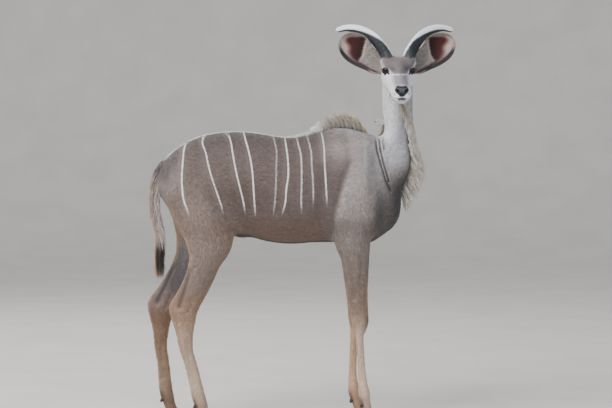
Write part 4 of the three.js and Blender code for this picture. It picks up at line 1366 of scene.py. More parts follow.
def lock_object(
    name, roots, ways, flats, lengths, widths, bends, colours, tips, flat, material, levels=5, sunk=6.0
):
    """Long hair: locks of three-sided rings from a sunk root along way * s + bend * s squared, to a tip."""
    ways = unit(ways)
    side = unit(flats - ways * (flats * ways).sum(1, keepdims=True))
    share = np.linspace(0, 1, levels + 1)[:-1]
    grow = np.concatenate([[-1.0], share[1:]])
    reach = np.where(grow < 0, -sunk / lengths[:, None], share[None])
    taper = np.sqrt(1 - share) * np.where(share < 0.5, 0.7 + 0.6 * share, 1.0)
    run = reach[..., None] * lengths[:, None, None]
    curve = np.maximum(reach, 0)[..., None] ** 2 * lengths[:, None, None]
    middle = roots[:, None] + ways[:, None] * run + bends[:, None] * curve
    tangent = unit(ways[:, None] + 2 * bends[:, None] * np.maximum(reach, 0)[..., None])
    normal = np.cross(tangent, side[:, None])
    half = (widths[:, None] * taper[None] / 2)[..., None]
    rings = np.stack(
        [
            middle - side[:, None] * half,
            middle + side[:, None] * half,
            middle + normal * half * 2 * LOCK_THICKNESS,
        ],
        2
    )
    tip = roots + ways * lengths[:, None] + bends * lengths[:, None]
    size = 3 * levels + 1
    points = np.concatenate([rings.reshape(len(roots), -1, 3), tip[:, None]], axis=1)
    faces = [[0, 2, 1]]
    for level in range(levels - 1):
        for corner in range(3):
            a, b = 3 * level + corner, 3 * level + (corner + 1) % 3
            faces += [[a, b, b + 3], [a, b + 3, a + 3]]
    last = 3 * (levels - 1)
    faces += [[last + corner, last + (corner + 1) % 3, size - 1] for corner in range(3)]
    start = (np.arange(len(roots)) * size)[:, None, None]
    triangles = (start + np.array(faces)[None]).reshape(-1, 3)
    pts, tris = outward(points.reshape(-1, 3), [triangles])
    thing = mesh_object(name, pts, tris, material)
    blend = np.concatenate([np.repeat(share, 3), [1.0]])[None, :, None]
    tint = colours[:, None] * (1 - blend) + tips[:, None] * blend
    paint(thing, tint.reshape(-1, 3))
    flat_map(thing, size, flat)
    return thing


def scatter(points, normals, triangles, count, weight, rng):
    """Random places over triangles, by their area times a weight: points and normals."""
    corners = points[triangles]
    area = np.linalg.norm(np.cross(corners[:, 1] - corners[:, 0], corners[:, 2] - corners[:, 0]), axis=1)
    chance = area * weight(corners.mean(axis=1))
    pick = rng.choice(len(triangles), count, p=chance / chance.sum())
    root, other = np.sqrt(rng.random(count)), rng.random(count)
    shares = np.stack([1 - root, root * (1 - other), root * other], -1)[..., None]
    place = (points[triangles[pick]] * shares).sum(axis=1)
    return place, unit((normals[triangles[pick]] * shares).sum(axis=1))


def onto_skin(roots):
    """Roots moved onto the skin, along its normal at the nearest of its points."""
    points, normals = SHARED["skin_points"], SHARED["skin_normals"]
    near = ((points > roots.min(axis=0) - 40) & (points < roots.max(axis=0) + 40)).all(axis=1)
    points, normals = points[near], normals[near]
    parts = np.array_split(roots, max(1, len(roots) // 150))
    nearest = np.concatenate(
        [np.argmin(((part[:, None] - points[None]) ** 2).sum(-1), 1) for part in parts]
    )
    normal = normals[nearest]
    return roots + normal * ((points[nearest] - roots) * normal).sum(axis=1, keepdims=True)


def gathered(way, rng, size, pull):
    """How far along a line each hair's tip is drawn to the middle of its clump, in uneven clumps."""
    cell = np.floor(way / size)
    jitter = np.sin(cell * 12.9898) * 0.32
    return ((cell + 0.5 + jitter) * size - way) * pull * rng.uniform(0.5, 1.0, len(way))


def finish_piece(thing, slot, *nodes):
    """Rides the piece on the body and hides the solids that it stands for; its slot is not used."""
    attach(thing, "root")
    if nodes:
        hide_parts(*nodes)


class CoatSettings(bpy.types.PropertyGroup):
    """Sizes of the skin and its short coat."""

    voxel: bpy.props.FloatProperty(
        name="Skin grain", description="Size of the skin's cells before they are cut finer", default=0.0082,
        unit="LENGTH"
    )
    tufts: bpy.props.IntProperty(
        name="Tufts", description="Tufts of short hair on the largest part of the body", default=46000
    )
    length: bpy.props.FloatProperty(
        name="Hair length", description="Length of the body's short hair", default=0.016, unit="LENGTH"
    )
    width: bpy.props.FloatProperty(
        name="Tuft width", description="Width of a tuft at its root", default=0.0021, unit="LENGTH"
    )
    seed: bpy.props.IntProperty(name="Seed", description="Start of the random draws", default=20)


class HairSettings(bpy.types.PropertyGroup):
    """Sizes of the long hair."""

    mane_locks: bpy.props.IntProperty(
        name="Mane locks", description="Locks of the crest over the withers", default=3200
    )
    nape_locks: bpy.props.IntProperty(
        name="Nape locks", description="Locks of the crest down the nape", default=1800
    )
    fringe_locks: bpy.props.IntProperty(
        name="Fringe locks", description="Locks of the fringe under the throat", default=3200
    )
    tail_locks: bpy.props.IntProperty(name="Tail locks", description="Locks of the tail", default=3400)
    fringe_length: bpy.props.FloatProperty(
        name="Fringe length", description="Longest hair of the throat", default=0.092, unit="LENGTH"
    )
    strand: bpy.props.FloatProperty(
        name="Lock width", description="Width of a lock of long hair", default=0.003, unit="LENGTH"
    )


class StageSettings(bpy.types.PropertyGroup):
    """The floor, lights and camera."""

    floor: bpy.props.FloatVectorProperty(
        name="Floor", description="Colour of the floor", default=(0.62, 0.6, 0.57), subtype="COLOR"
    )
    key: bpy.props.FloatProperty(
        name="Key light", description="Power of the main light, in watts", default=700.0
    )
    fill: bpy.props.FloatProperty(
        name="Fill light", description="Power of the fill light, in watts", default=120.0
    )
    sky: bpy.props.FloatProperty(
        name="Sky", description="Strength of the light from all round", default=0.72
    )


class KuduSettings(bpy.types.PropertyGroup):
    """All of the model's settings."""

    coat: bpy.props.PointerProperty(type=CoatSettings)
    hair: bpy.props.PointerProperty(type=HairSettings)
    stage: bpy.props.PointerProperty(type=StageSettings)


class KUDU_OT_skin(bpy.types.Operator):
    """Makes the one skin of body, head, legs, tail and ears, with the forms under it and its markings"""

    bl_idname = "kudu.skin"
    bl_label = "Skin"

    def execute(self, context):
        settings = context.scene.kudu.coat
        shapes = [slices(TORSO, COAT_DEPTH, 72, 64), neck_shape(COAT_DEPTH), head_shape(2.0), tail_shape()]
        shapes.append(ellipsoid([-124, 0, 828], np.array([46, 20, 20])))
        shapes += [leg_shape(rows, shifts, side, 2.5) for _, rows, shifts, side in LEGS]
        base = mesh_object("base", *joined(shapes))
        remesh = base.modifiers.new("cells", "REMESH")
        remesh.mode = "VOXEL"
        remesh.voxel_size = settings.voxel
        remesh.use_smooth_shade = True
        mesh = evaluated(base)
        points, edges, _ = read_mesh(mesh)
        head = head_local(points)
        body = ease(points[:, 2], 770, 850) * (1 - ease(points[:, 2], 1240, 1330))
        tail = ease(-470 - points[:, 0], 0, 20)
        points = relaxed(points, edges, body * (1 - tail), 70)
        points = relaxed(points, edges, np.full(len(points), 0.9), 6, back=0.52)
        upper = ease(points[:, 2], 1240, 1330) * (1 - ease(head[:, 0], 0, 60))
        points = relaxed(points, edges, upper * 0.8, 10)
        set_points(mesh, points)
        finer(mesh, self.folded_parts)
        points, edges, normals = read_mesh(mesh)
        points = relaxed(points, edges, np.full(len(points), 0.8), 3, back=0.52)
        set_points(mesh, points + normals * body_relief(points, normals)[:, None])
        finer(mesh, self.close_parts)
        points, edges, _ = read_mesh(mesh)
        face = on_face(head_local(points), -70) * 1.0
        points = relaxed(points, edges, face, 5, back=0.52)
        points = head_relief(points)
        set_points(mesh, points)
        body_count = len(points)
        skin = bpy.data.objects.new("skin", mesh)
        context.scene.collection.objects.link(skin)
        self.add_ears(context, skin)
        mesh = skin.data
        mesh.polygons.foreach_set("use_smooth", np.ones(len(mesh.polygons), bool))
        self.colour(mesh, skin, body_count)
        mesh.materials.clear()
        mesh.materials.append(skin_material())
        nodes = ["torso", "neck", "head", "ear_right", "ear_left"]
        nodes += [f"{name}_{part}" for name, *_ in LEGS for part in ("upper", "lower")]
        finish_piece(skin, "hide", *nodes)
        SHARED["skin"] = skin
        SHARED["body_count"] = body_count
        points, _, normals = read_mesh(mesh)
        SHARED["skin_points"], SHARED["skin_normals"] = points[:body_count], normals[:body_count]
        return {"FINISHED"}

    @staticmethod
    def folded_parts(middles):
        """The face, and the folds where the neck leaves the shoulder."""
        x, y, z = middles.T
        folds = (x > 435) & (x < 535) & (z > 1010) & (z < 1275) & (np.abs(y) > 40)
        return folds | on_face(head_local(middles), -60)

    @staticmethod
    def close_parts(middles):
        """The eyes and the end of the muzzle, which show the finest forms."""
        local = head_local(middles)
        one_side = np.stack([local[:, 0], np.abs(local[:, 1]), local[:, 2]], -1)
        x, y, z = middles.T
        folds = (x > 448) & (x < 512) & (z > 1060) & (z < 1268) & (np.abs(y) > 50)
        return (np.linalg.norm(one_side - [6, 58, 2], axis=1) < 34) | on_face(local, 125) | folds

    @staticmethod
    def add_ears(context, skin):
        """Joins the two ears to the skin's own mesh."""
        ears = mesh_object("ears", *joined([ear_shape(-1), ear_shape(1)]))
        with context.temp_override(active_object=skin, selected_editable_objects=[skin, ears]):
            bpy.ops.object.join()

    @staticmethod
    def colour(mesh, skin, body_count):
        """Paints the skin's points, and marks where hair is upright and where stripes may show."""
        points, _, normals = read_mesh(mesh)
        spines = Spines()
        SHARED["spines"] = spines
        share, lie, _ = spines.read(points)
        colours = coat_colour(points, normals, share, striped=False)
        colours = mixed(colours, BACK_LINE_WHITE, back_line_share(points) * 0.85 * (1 - share[:, 7]))
        t = np.linspace(-1, 1, EAR_STEPS)
        across = np.concatenate([t, t[::-1]])
        inside = np.arange(2 * EAR_STEPS) >= EAR_STEPS
        across = np.concatenate([np.tile(across, EAR_ROWS), [0.0, 0.0]])
        inside = np.concatenate([np.tile(inside, EAR_ROWS), [False, False]])
        local = head_local(points[body_count:])
        colours[body_count:] = ear_colour(local, np.tile(across, 2), np.tile(inside, 2))
        paint(skin, colours)
        for name, values in (
            ("upright", ease(np.abs(lie[:, 2]), 0.3, 0.8)),
            ("flank", share[:, 0] + share[:, 5] + share[:, 6])
        ):
            values = np.array(values, np.float32)
            values[body_count:] = name == "upright"
            mesh.attributes.new(name, "FLOAT", "POINT").data.foreach_set("value", values)


class KUDU_OT_coat(bpy.types.Operator):
    """Sets short tufts along the lie of the coat, smallest on the face and feet"""

    bl_idname = "kudu.coat"
    bl_label = "Coat"

    def execute(self, context):
        settings = context.scene.kudu.coat
        rng = np.random.default_rng(settings.seed)
        mesh = SHARED["skin"].data
        points, _, normals = read_mesh(mesh)
        triangles = triangles_of(mesh)
        triangles = triangles[(triangles < SHARED["body_count"]).all(axis=1)]
        material = hair_material("coat_hair", 0.72)
        groups = {
            "coat_rear": (1.0, lambda p: (p[:, 2] > 780) & (p[:, 0] < 40)),
            "coat_front": (1.0, lambda p: (p[:, 2] > 780) & (p[:, 2] < 1230) & (p[:, 0] >= 40)),
            "coat_neck": (
                0.75, lambda p: (p[:, 2] >= 1230) & (p[:, 0] >= 40) & ~on_face(head_local(p), -10)
            ),
            "coat_face": (1.0, lambda p: on_face(head_local(p), -10)),
            "coat_forelegs": (0.6, lambda p: (p[:, 2] <= 780) & (p[:, 2] > 42) & (p[:, 0] > 0)),
            "coat_hindlegs": (0.8, lambda p: (p[:, 2] <= 780) & (p[:, 2] > 42) & (p[:, 0] <= 0)),
        }
        for name, (part, wanted) in groups.items():
            count = int(settings.tufts * part) // 1
            place, normal = scatter(points, normals, triangles, count, wanted, rng)
            share, lie, flat = SHARED["spines"].read(place)
            local = head_local(place)
            bare = (local[:, 0] > 172) & (np.abs(local[:, 1]) < 33) & (local[:, 2] > -54)
            for side in (-1, 1):
                bare |= lid_share(local, side)[0] < 1.35
            lip, within = mouth_distance(local)
            crease = np.max([hollow * dark for _, hollow, dark in furrows(place)], axis=0)
            keep = ~bare & ~((np.abs(lip) < 4.5) & (within > 0)) & (crease < 0.2)
            place, normal, share, lie, flat, local, crease = (
                a[keep] for a in (place, normal, share, lie, flat, local, crease)
            )
            face = ease(local[:, 0], -60, 40) * share[:, 2]
            foot = 1 - ease(place[:, 2], 80, 420)
            tight = np.clip(5 * crease + stripe_share(place, 11) * (share[:, 1] < 0.5), 0, 1)
            size = (1 - 0.68 * face) * (1 - 0.5 * foot) * (1 - 0.6 * tight)
            size = size * rng.uniform(0.75, 1.2, len(place))
            middle = place + lie * (0.4 * settings.length * 1000 * size)[:, None]
            colours = coat_colour(middle, normal, share) * rng.normal(1.0, 0.06, len(place))[:, None]
            thing = tuft_object(
                name,
                place,
                normal,
                lie,
                settings.length * 1000 * size,
                settings.width * 1000 * (0.45 + 0.55 * size),
                rng.uniform(0.1, 0.22, len(place)) * (1 - 0.5 * foot),
                colours,
                flat,
                material,
                rng,
            )
            finish_piece(thing, "hide")
        self.ear_hair(material, rng)
        return {"FINISHED"}

    @staticmethod
    def ear_hair(material, rng):
        """Fine tufts over the ears' backs and rims, and over the fold inside each cup."""
        for side, name in SIDES:
            count = EAR_TUFTS
            share, t = rng.uniform(0.0, 0.985, count), rng.uniform(-1, 1, count)
            inside = rng.random(count) < 0.5
            step = 0.01
            place = np.where(inside[:, None], ear_wall(side, share, t), ear_wall(side, share, t, EAR_WALL))
            ahead = ear_wall(side, share + step, t) - ear_wall(side, share, t)
            across = ear_wall(side, share, t + step) - ear_wall(side, share, t - step)
            normal = unit(np.cross(ahead, across))
            facing = ear_frame(side)[3] @ HEAD_AXES
            normal *= np.sign(normal @ facing)[:, None] * np.where(inside, 1, -1)[:, None]
            keep = ~inside | (np.abs(t) > 0.55) | (
                np.abs(head_local(place)[:, 1]) < fold_edge(head_local(place)[:, 2])
            )
            place = place + facing * (inside * EAR_FOLD_HEIGHT * ear_fold(head_local(place), t))[:, None]
            place, normal, ahead, share, t, inside = (
                a[keep] for a in (place, normal, ahead, share, t, inside)
            )
            count = len(place)
            colours = ear_colour(head_local(place), t, inside) * rng.normal(1.0, 0.07, count)[:, None]
            flat = np.stack([0.70 + 0.26 * share, 0.82 + 0.08 * (t + 1) / 2 + 0.08 * (side > 0)], -1)
            length = np.where(inside, rng.uniform(6, 13, count), rng.uniform(5, 9, count))
            thing = tuft_object(
                f"coat_ear_{name}",
                place,
                normal,
                ahead,
                length,
                np.full(count, 1.5),
                rng.uniform(0.12, 0.3, count),
                colours,
                flat,
                material,
                rng,
            )
            finish_piece(thing, "ear")


class KUDU_OT_long_hair(bpy.types.Operator):
    """Grows the crest, the nape's hair, the throat's fringe, the tail and the hair of the ears' folds"""

    bl_idname = "kudu.long_hair"
    bl_label = "Long hair"

    def execute(self, context):
        settings = context.scene.kudu.hair
        rng = np.random.default_rng(HAIR_SEED)
        material = hair_material("long_hair", 0.62)
        self.crest(settings, rng, material)
        self.nape(settings, rng, material)
        self.fringe(settings, rng, material)
        self.tail(settings, rng, material)
        self.ear_folds(settings, rng, material)
        return {"FINISHED"}

    @staticmethod
    def crest(settings, rng, material):
        """Hair that stands over the withers and leans back, with a low white ridge behind, along the back."""
        count = settings.mane_locks
        x = np.where(rng.random(count) < 0.76, rng.uniform(196, 425, count), rng.uniform(-470, 230, count))
        y = rng.normal(0, np.where(x > 196, 6.5, 3.5), count)
        roots = onto_skin(np.stack([x, y, smooth(TORSO, x)[:, 0] - COAT_DEPTH - 0.012 * y**2], -1))
        white = (1 - ease(x, 215, 250)) * ease(x, -462, -440)
        tuft = np.floor(x / MANE_TUFT + 0.5)
        middle = 1 - np.abs(x / MANE_TUFT - tuft) * 2
        peak = (
            0.46 + 0.5 * middle + 0.14 * np.sin(tuft * 78.2)
        ) * ease(x, 205, 240) + 1 - ease(x, 205, 240)
        low = 10 + 3 * ease(x, -300, -60) + 12 * ease(x, 60, 190)
        tall = np.maximum(
            smooth(MANE, x)[:, 0] * 1.36 * peak * ease(x, 160, 215), low
        ) * rng.uniform(0.45, 1.08, count)
        lean = -1.6 + 1.3 * ease(x, 190, 240) - 0.5 * (1 - ease(x, -300, 0))
        clump = (MANE_TUFT * tuft - x) * 1.1 * rng.uniform(0.4, 1.0, count) * ease(x, 215, 250) / tall
        ways = np.stack(
            [lean + rng.normal(0, 0.09, count), 0.02 * y + rng.normal(0, 0.07, count), np.ones(count)], -1
        )
        flats = np.stack([np.ones(count), rng.normal(0, 0.4, count), np.zeros(count)], -1)
        bends = np.stack(
            [
                rng.normal(-0.14, 0.05, count) + clump,
                rng.normal(0, 0.03, count) - 0.7 * y * (x > 215) / tall,
                np.full(count, -0.02),
            ],
            -1
        )
        front = ease(x, 385, 412)
        base = mixed([134.0, 129, 130], [140, 128, 118], front)
        base = mixed(base, [220, 220, 222], white) * rng.normal(1, 0.08, count)[:, None]
        tips = mixed([188.0, 176, 156], [206, 180, 152], front)
        tips = mixed(tips, [232, 232, 234], white) * rng.normal(1, 0.06, count)[:, None]
        flat = np.stack([0.02 + 0.6 * (x + 480) / 1040, 0.25 + 0.004 * y / 6], -1)
        widths = settings.strand * 1000 * rng.uniform(0.6, 1.15, count) * np.where(x > 196, 1, 0.8)
        thing = lock_object(
            "mane_withers_hair", roots, ways, flats, tall, widths, bends, base, tips, flat, material
        )
        finish_piece(thing, "long_hair", "mane_withers")

    @staticmethod
    def nape(settings, rng, material):
        """Hair down the nape, which points back and hangs over a little."""
        count = settings.nape_locks
        share = rng.uniform(0.34, 0.93, count)
        stray = rng.random(count) < 0.14
        share = np.where(stray, rng.uniform(0.574, 0.596, count), share)
        middle, throat, left, depth, _ = neck_at(share)
        out = rng.normal(0, 5.5, count)[:, None] + np.where(stray, -6, 0)[:, None]
        roots = onto_skin(middle - throat * (depth - COAT_DEPTH) + left * out)
        ways = -throat + UP * rng.uniform(-0.5, -0.1, count)[:, None]
        ways = ways + left * rng.normal(0, 0.12, count)[:, None]
        flats = np.tile(UP, (count, 1)) + left * rng.normal(0, 0.3, count)[:, None]
        ways = np.where(
            stray[:, None], -throat * 0.3 + [-1.0, 0.1, 0.42] + rng.normal(0, 0.03, (count, 3)), ways
        )
        lengths = (58 - 28 * (share - 0.37) / 0.55) * rng.uniform(0.6, 1.06, count)
        lengths = np.where(stray, rng.uniform(56, 72, count), lengths)
        bends = UP * np.where(stray, -0.22, rng.normal(-0.26, 0.08, count))[:, None]
        lock = neck_at([0.585])
        inward = (lock[0] - lock[1] * (lock[3] - COAT_DEPTH) - roots) * 0.72 / lengths[:, None]
        bends = bends + np.where(stray[:, None], inward, 0)
        base = np.tile([96.0, 84, 77], (count, 1)) * rng.normal(1, 0.1, count)[:, None]
        tips = np.tile([176.0, 160, 140], (count, 1)) * rng.normal(1, 0.08, count)[:, None]
        base, tips = (mixed(colour, [214, 206, 202], stray * 0.9) for colour in (base, tips))
        flat = np.stack([0.69 + 0.28 * share, 0.15 + 0.001 * out[:, 0]], -1)
        widths = settings.strand * 1000 * rng.uniform(0.7, 1.1, count) * np.where(stray, 1.3, 1)
        thing = lock_object(
            "mane_neck_hair", roots, ways, flats, lengths, widths, bends, base, tips, flat, material
        )
        finish_piece(thing, "long_hair", "mane_neck")

    @staticmethod
    def fringe(settings, rng, material):
        """Hair that hangs from the throat, longest low on the neck."""
        count = settings.fringe_locks
        share = rng.uniform(0.03, 0.985, count)
        line = throat_line(share)
        middles = smooth(np.array([[-row[2], row[0], row[1]] for row in NECK[::-1]]), -line[:, 2])
        out = unit(np.column_stack([line[:, :2] - middles, np.zeros(count)]))
        side = np.cross(UP, out)
        off = rng.normal(0, 6.0, count)[:, None]
        longest = settings.fringe_length * 1000
        swell = bell((share - 0.68) / 0.2)
        full = 0.42 + 0.58 * np.sin(np.pi * np.minimum(share, 0.9) / 1.8) ** 1.5 + 0.26 * swell
        lengths = longest * full * rng.uniform(0.5, 1.08, count)
        spread = rng.uniform(0.36, 0.78, count) + 0.42 * swell
        ways = out * spread[:, None] - UP + side * (rng.normal(0, 0.12, count)[:, None] + off * 0.015)
        bends = out * rng.normal(-0.14, 0.06, count)[:, None] + side * rng.normal(0, 0.04, count)[:, None]
        bends = bends - UP * (gathered(share * 620, rng, 17.0, 0.8) / lengths)[:, None]
        roots = onto_skin(line + side * off - out * (0.02 * off**2))
        tan = np.clip(
            0.5 + 0.5 * np.sin(share * 71 + 1.3 * off[:, 0] / 6), 0, 1
        ) * rng.uniform(0.4, 1, count)
        streak = bell((share - 0.2) / 0.12) * (1 - ease(off[:, 0], -2, 5))
        tan = np.maximum(tan * (0.25 + 0.75 * ease(share, 0.4, 0.6)), streak)
        base = mixed([192.0, 188, 186], [142, 130, 121], tan) * rng.normal(1, 0.09, count)[:, None]
        tips = mixed([226.0, 221, 214], [184, 168, 150], tan) * rng.normal(1, 0.07, count)[:, None]
        flat = np.stack([0.69 + 0.28 * share, 0.02 + 0.0006 * (off[:, 0] + 20)], -1)
        widths = settings.strand * 1000 * rng.uniform(0.65, 1.1, count)
        thing = lock_object(
            "throat_fringe_hair", roots, ways, out + side * rng.normal(0, 0.5, count)[:, None], lengths,
            widths, bends, base, tips, flat, material
        )
        finish_piece(thing, "long_hair", "fringe_throat")

    @staticmethod
    def tail(settings, rng, material):
        """The tail's hair: brown behind, white in front and black at the end, with a tan edge."""
        count = settings.tail_locks
        share = rng.random(count) ** 0.8 * 0.9 + 0.09
        middle, behind, depth, width = tail_at(share)
        turn = rng.uniform(-np.pi, np.pi, count)[:, None]
        out = behind * np.cos(turn) + np.array([0, 1.0, 0]) * np.sin(turn)
        roots = middle + out * (depth * np.abs(np.cos(turn)) + width * np.abs(np.sin(turn))) * 0.9
        ahead = smooth(TAIL_LINE, np.minimum(share + 0.04, 1) * TAIL_LINE[-1, 0])[:, :2]
        run = np.column_stack([ahead[:, 0] - middle[:, 0], np.zeros(count), ahead[:, 1] - middle[:, 2]])
        run = unit(np.where(np.linalg.norm(run, axis=1, keepdims=True) > 1, run, [0, 0, -1.0]))
        front = ease(-np.cos(turn[:, 0]), 0.2, 0.7)
        behind_share = ease(np.cos(turn[:, 0]), 0.55, 0.95)
        low = ease(share, 0.72, 0.82)
        flare = 0.24 + 0.3 * front * ease(share, 0.15, 0.3) * (1 - low) + 0.18 * low
        ways = run + out * (flare * rng.uniform(0.6, 1.2, count))[:, None]
        lengths = np.interp(
            share, [0, 0.2, 0.5, 0.8, 1], [24, 46, 70, 86, 84]
        ) * rng.uniform(0.7, 1.05, count)
        bends = -out * (flare * 0.55)[:, None]
        brown, white = np.array([164.0, 151, 143]), np.array([180.0, 172, 168])
        black, tan = np.array([48.0, 42, 41]), np.array([196.0, 154, 120])
        base = mixed(brown, white, front * ease(share, 0.12, 0.3))
        base = mixed(base, [112, 104, 106], 1 - ease(share, 0.14, 0.26))
        base = mixed(base, tan, behind_share * ease(share, 0.25, 0.4) * 0.6)
        base = mixed(base, black, ease(share, 0.74, 0.79))
        base = mixed(base, tan, ease(share, 0.74, 0.8) * ease(np.cos(turn[:, 0]), 0.35, 0.9) * 0.85)
        base = base * rng.normal(1, 0.07, count)[:, None]
        tips = mixed(base * 1.12, tan, ease(share, 0.93, 0.99) * 0.8)
        flat = np.stack([0.69 + 0.28 * share, 0.66 + 0.12 * (turn[:, 0] / (2 * np.pi) + 0.5)], -1)
        widths = settings.strand * 1000 * rng.uniform(0.6, 1.0, count)
        flats = np.cross(out, run)
        thing = lock_object(
            "tail_hair", roots, ways, flats, lengths, widths, bends, base, tips, flat, material
        )
        finish_piece(thing, "long_hair", "tail")

    @staticmethod
    def ear_folds(settings, rng, material):
        """Long pale hair across the mouth of each ear, from its fold near the head."""
        for side, name in SIDES:
            count = EAR_LOCKS
            share, t = rng.uniform(0.04, 0.38, count), rng.uniform(-0.5, 0.85, count)
            roots = on_fold(side, ear_wall(side, share, t), t)
            _, along, across, facing = (vector @ HEAD_AXES for vector in ear_frame(side))
            ways = along + facing * rng.uniform(0.08, 0.25, count)[:, None]
            ways = ways - across * rng.uniform(-0.1, 0.35, count)[:, None]
            lengths = rng.uniform(12, 26, count)
            bends = -facing * rng.uniform(0.05, 0.25, count)[:, None]
            base = np.tile([150.0, 142, 140], (count, 1)) * rng.normal(1, 0.08, count)[:, None]
            tips = np.tile([190.0, 182, 178], (count, 1))
            flat = np.stack([0.70 + 0.26 * share, 0.9 - 0.03 * t + 0.08 * (side > 0)], -1)
            flats = np.tile(across, (count, 1))
            widths = np.full(count, settings.strand * 480)
            thing = lock_object(
                f"ear_hair_{name}", roots, ways, flats, lengths, widths, bends, base, tips, flat, material,
                levels=3, sunk=2.0
            )
            finish_piece(thing, "ear")


class KUDU_OT_horns(bpy.types.Operator):
    """Makes the two horns, with their keel, growth rings and pale upper side, which is partly painted sky
    light
    """

    bl_idname = "kudu.horns"
    bl_label = "Horns"

    def execute(self, context):
        material = horn_material()
        line = along_line(HORN, [0, 1, 2])
        share = np.sin(np.linspace(0, np.pi / 2, 150)) ** 1.2
        values = smooth(line, share * line[-1, 0])
        values[:, 3] *= np.sqrt(np.clip(1 - ((share - 0.965) / 0.036).clip(0) ** 2, 0.002, 1))
        sides = 40
        angle = np.arange(sides) * 2 * np.pi / sides
        for side, name in SIDES:
            middle = on_head(values[:, :3] * [1, -side, 1])
            tangent = unit(np.gradient(middle, axis=0))
            keel = unit(HEAD_AXES[2] - tangent * (tangent @ HEAD_AXES[2])[:, None])
            across = np.cross(tangent, keel)
            twist = side * (0.5 - 1.5 * share)[:, None]
            away = np.angle(np.exp(1j * (angle[None] - twist)))
            rings = 1 + 0.03 * (1 - share) ** 1.2 * np.sin(2 * np.pi * 13 * share**0.85)
            section = 1 + 0.17 * bell(away / 0.42) - 0.04 * bell((np.abs(away) - 0.9) / 0.3)
            out = values[:, 3:4] * rings[:, None] * section * 0.97
            points = middle[:, None] + keel[:, None] * (out * np.cos(angle))[..., None]
            points = points + across[:, None] * (out * np.sin(angle))[..., None]
            thing = mesh_object(f"horn_{name}_dressed", *closed_grid(points), material)
            upward = unit(side * np.cross(FORWARD, tangent))[:, None]
            # The side facing up is painted bluish white: partly the horn's own pale keel, partly painted sky
            # light on its top
            radial = unit(points - middle[:, None])
            edge = np.interp(
                share, [0, 0.12, 0.3, 0.5, 0.75, 1], [0.94, 0.87, 0.74, 0.52, 0.1, -0.4]
            )[:, None]
            pale = ease((radial * upward).sum(-1), edge - 0.14, edge + 0.14)
            colours = mixed([32.0, 35, 40], [232, 239, 250], pale)
            base = (1 - ease(share, 0.02, 0.2))[:, None] * (1 - pale)
            colours = mixed(colours, [62, 65, 73], base)
            paint(thing, with_poles(colours))
            grain = np.stack(
                np.broadcast_arrays(
                    share[:, None] * line[-1, 0] / 100,
                    np.sin(angle)[None],
                    np.cos(angle)[None],
                ),
                -1
            )
            layer = thing.data.attributes.new("grain", "FLOAT_VECTOR", "POINT")
            layer.data.foreach_set("vector", with_poles(grain).astype(np.float32).ravel())
            finish_piece(thing, "horn", f"horn_{name}")
        return {"FINISHED"}


class KUDU_OT_hooves(bpy.types.Operator):
    """Makes the cloven hooves and the dewclaws"""

    bl_idname = "kudu.hooves"
    bl_label = "Hooves"

    def execute(self, context):
        material = hoof_material()
        for name, rows, shifts, side in LEGS:
            shapes = [self.claw(rows, shifts, side, inner) for inner in (-1, 1)]
            thing = mesh_object(f"{name}_hoof_dressed", *joined(shapes), material)
            finish_piece(thing, "hoof", f"{name}_hoof")
            claws = [self.dewclaw(rows, shifts, side, inner) for inner in (-1, 1)]
            thing = mesh_object(f"{name}_dewclaws", *joined(claws), material)
            finish_piece(thing, "hoof")
        return {"FINISHED"}

    @staticmethod
    def claw(rows, shifts, side, inner):
        """One claw: level slices that reach forward to the toe, pointed in front and round behind."""
        middle, long, _ = leg_at(rows, shifts, side, np.array([CORONET_HEIGHT]))
        heel = middle[0, 0] - long[0] + 4
        levels = np.array([
            [0, 1, HOOF_LENGTH - 4, 12.6],
            [2, 0, HOOF_LENGTH - 1.5, 13.6],
            [14, -3, HOOF_LENGTH - 10, 14.2],
            [30, -3, HOOF_LENGTH - 26, 14.2],
            [CORONET_HEIGHT - 6, 0, 2 * long[0] - 3, 13.2],
            [CORONET_HEIGHT + 6, 4, 2 * long[0] - 16, 10.4],
        ])
        height = np.concatenate([[0, 0.8], np.linspace(2, CORONET_HEIGHT + 6, 26)])
        rear, length, half = smooth(levels, height).T
        angle = np.arange(40) * 2 * np.pi / 40
        toe = np.cos(angle)[None]
        pointed = np.where(toe > 0, 1 - 0.45 * toe**2, 1.0)
        x = (heel + rear)[:, None] + (length / 2)[:, None] * (1 + toe)
        slope = 1 + 0.1 * toe * (height / (CORONET_HEIGHT + 6))[:, None] ** 2
        spread = CLAW_SPREAD * (1 - 0.3 * (height / (CORONET_HEIGHT + 6))[:, None] ** 2)
        y = middle[0, 1] + inner * (spread - 2 * toe) + half[:, None] * np.sin(angle)[None] * pointed
        return closed_grid(np.stack([x, y, height[:, None] * slope], -1))

    @staticmethod
    def dewclaw(rows, shifts, side, inner):
        """A small blunt claw behind the fetlock."""
        middle, long, half = leg_at(rows, shifts, side, np.array([DEWCLAW_HEIGHT + 2]))
        points, faces = ellipsoid([0, 0, 0], DEWCLAW_RADII)
        cosine, sine = np.cos(DEWCLAW_TILT), np.sin(DEWCLAW_TILT)
        tilted = points @ np.array([[cosine, 0, -sine], [0, 1, 0], [sine, 0, cosine]])
        x, y = middle[0, 0] - long[0] + 4.0, middle[0, 1] + inner * half[0] * 0.55
        return tilted + [x, y, DEWCLAW_HEIGHT], faces


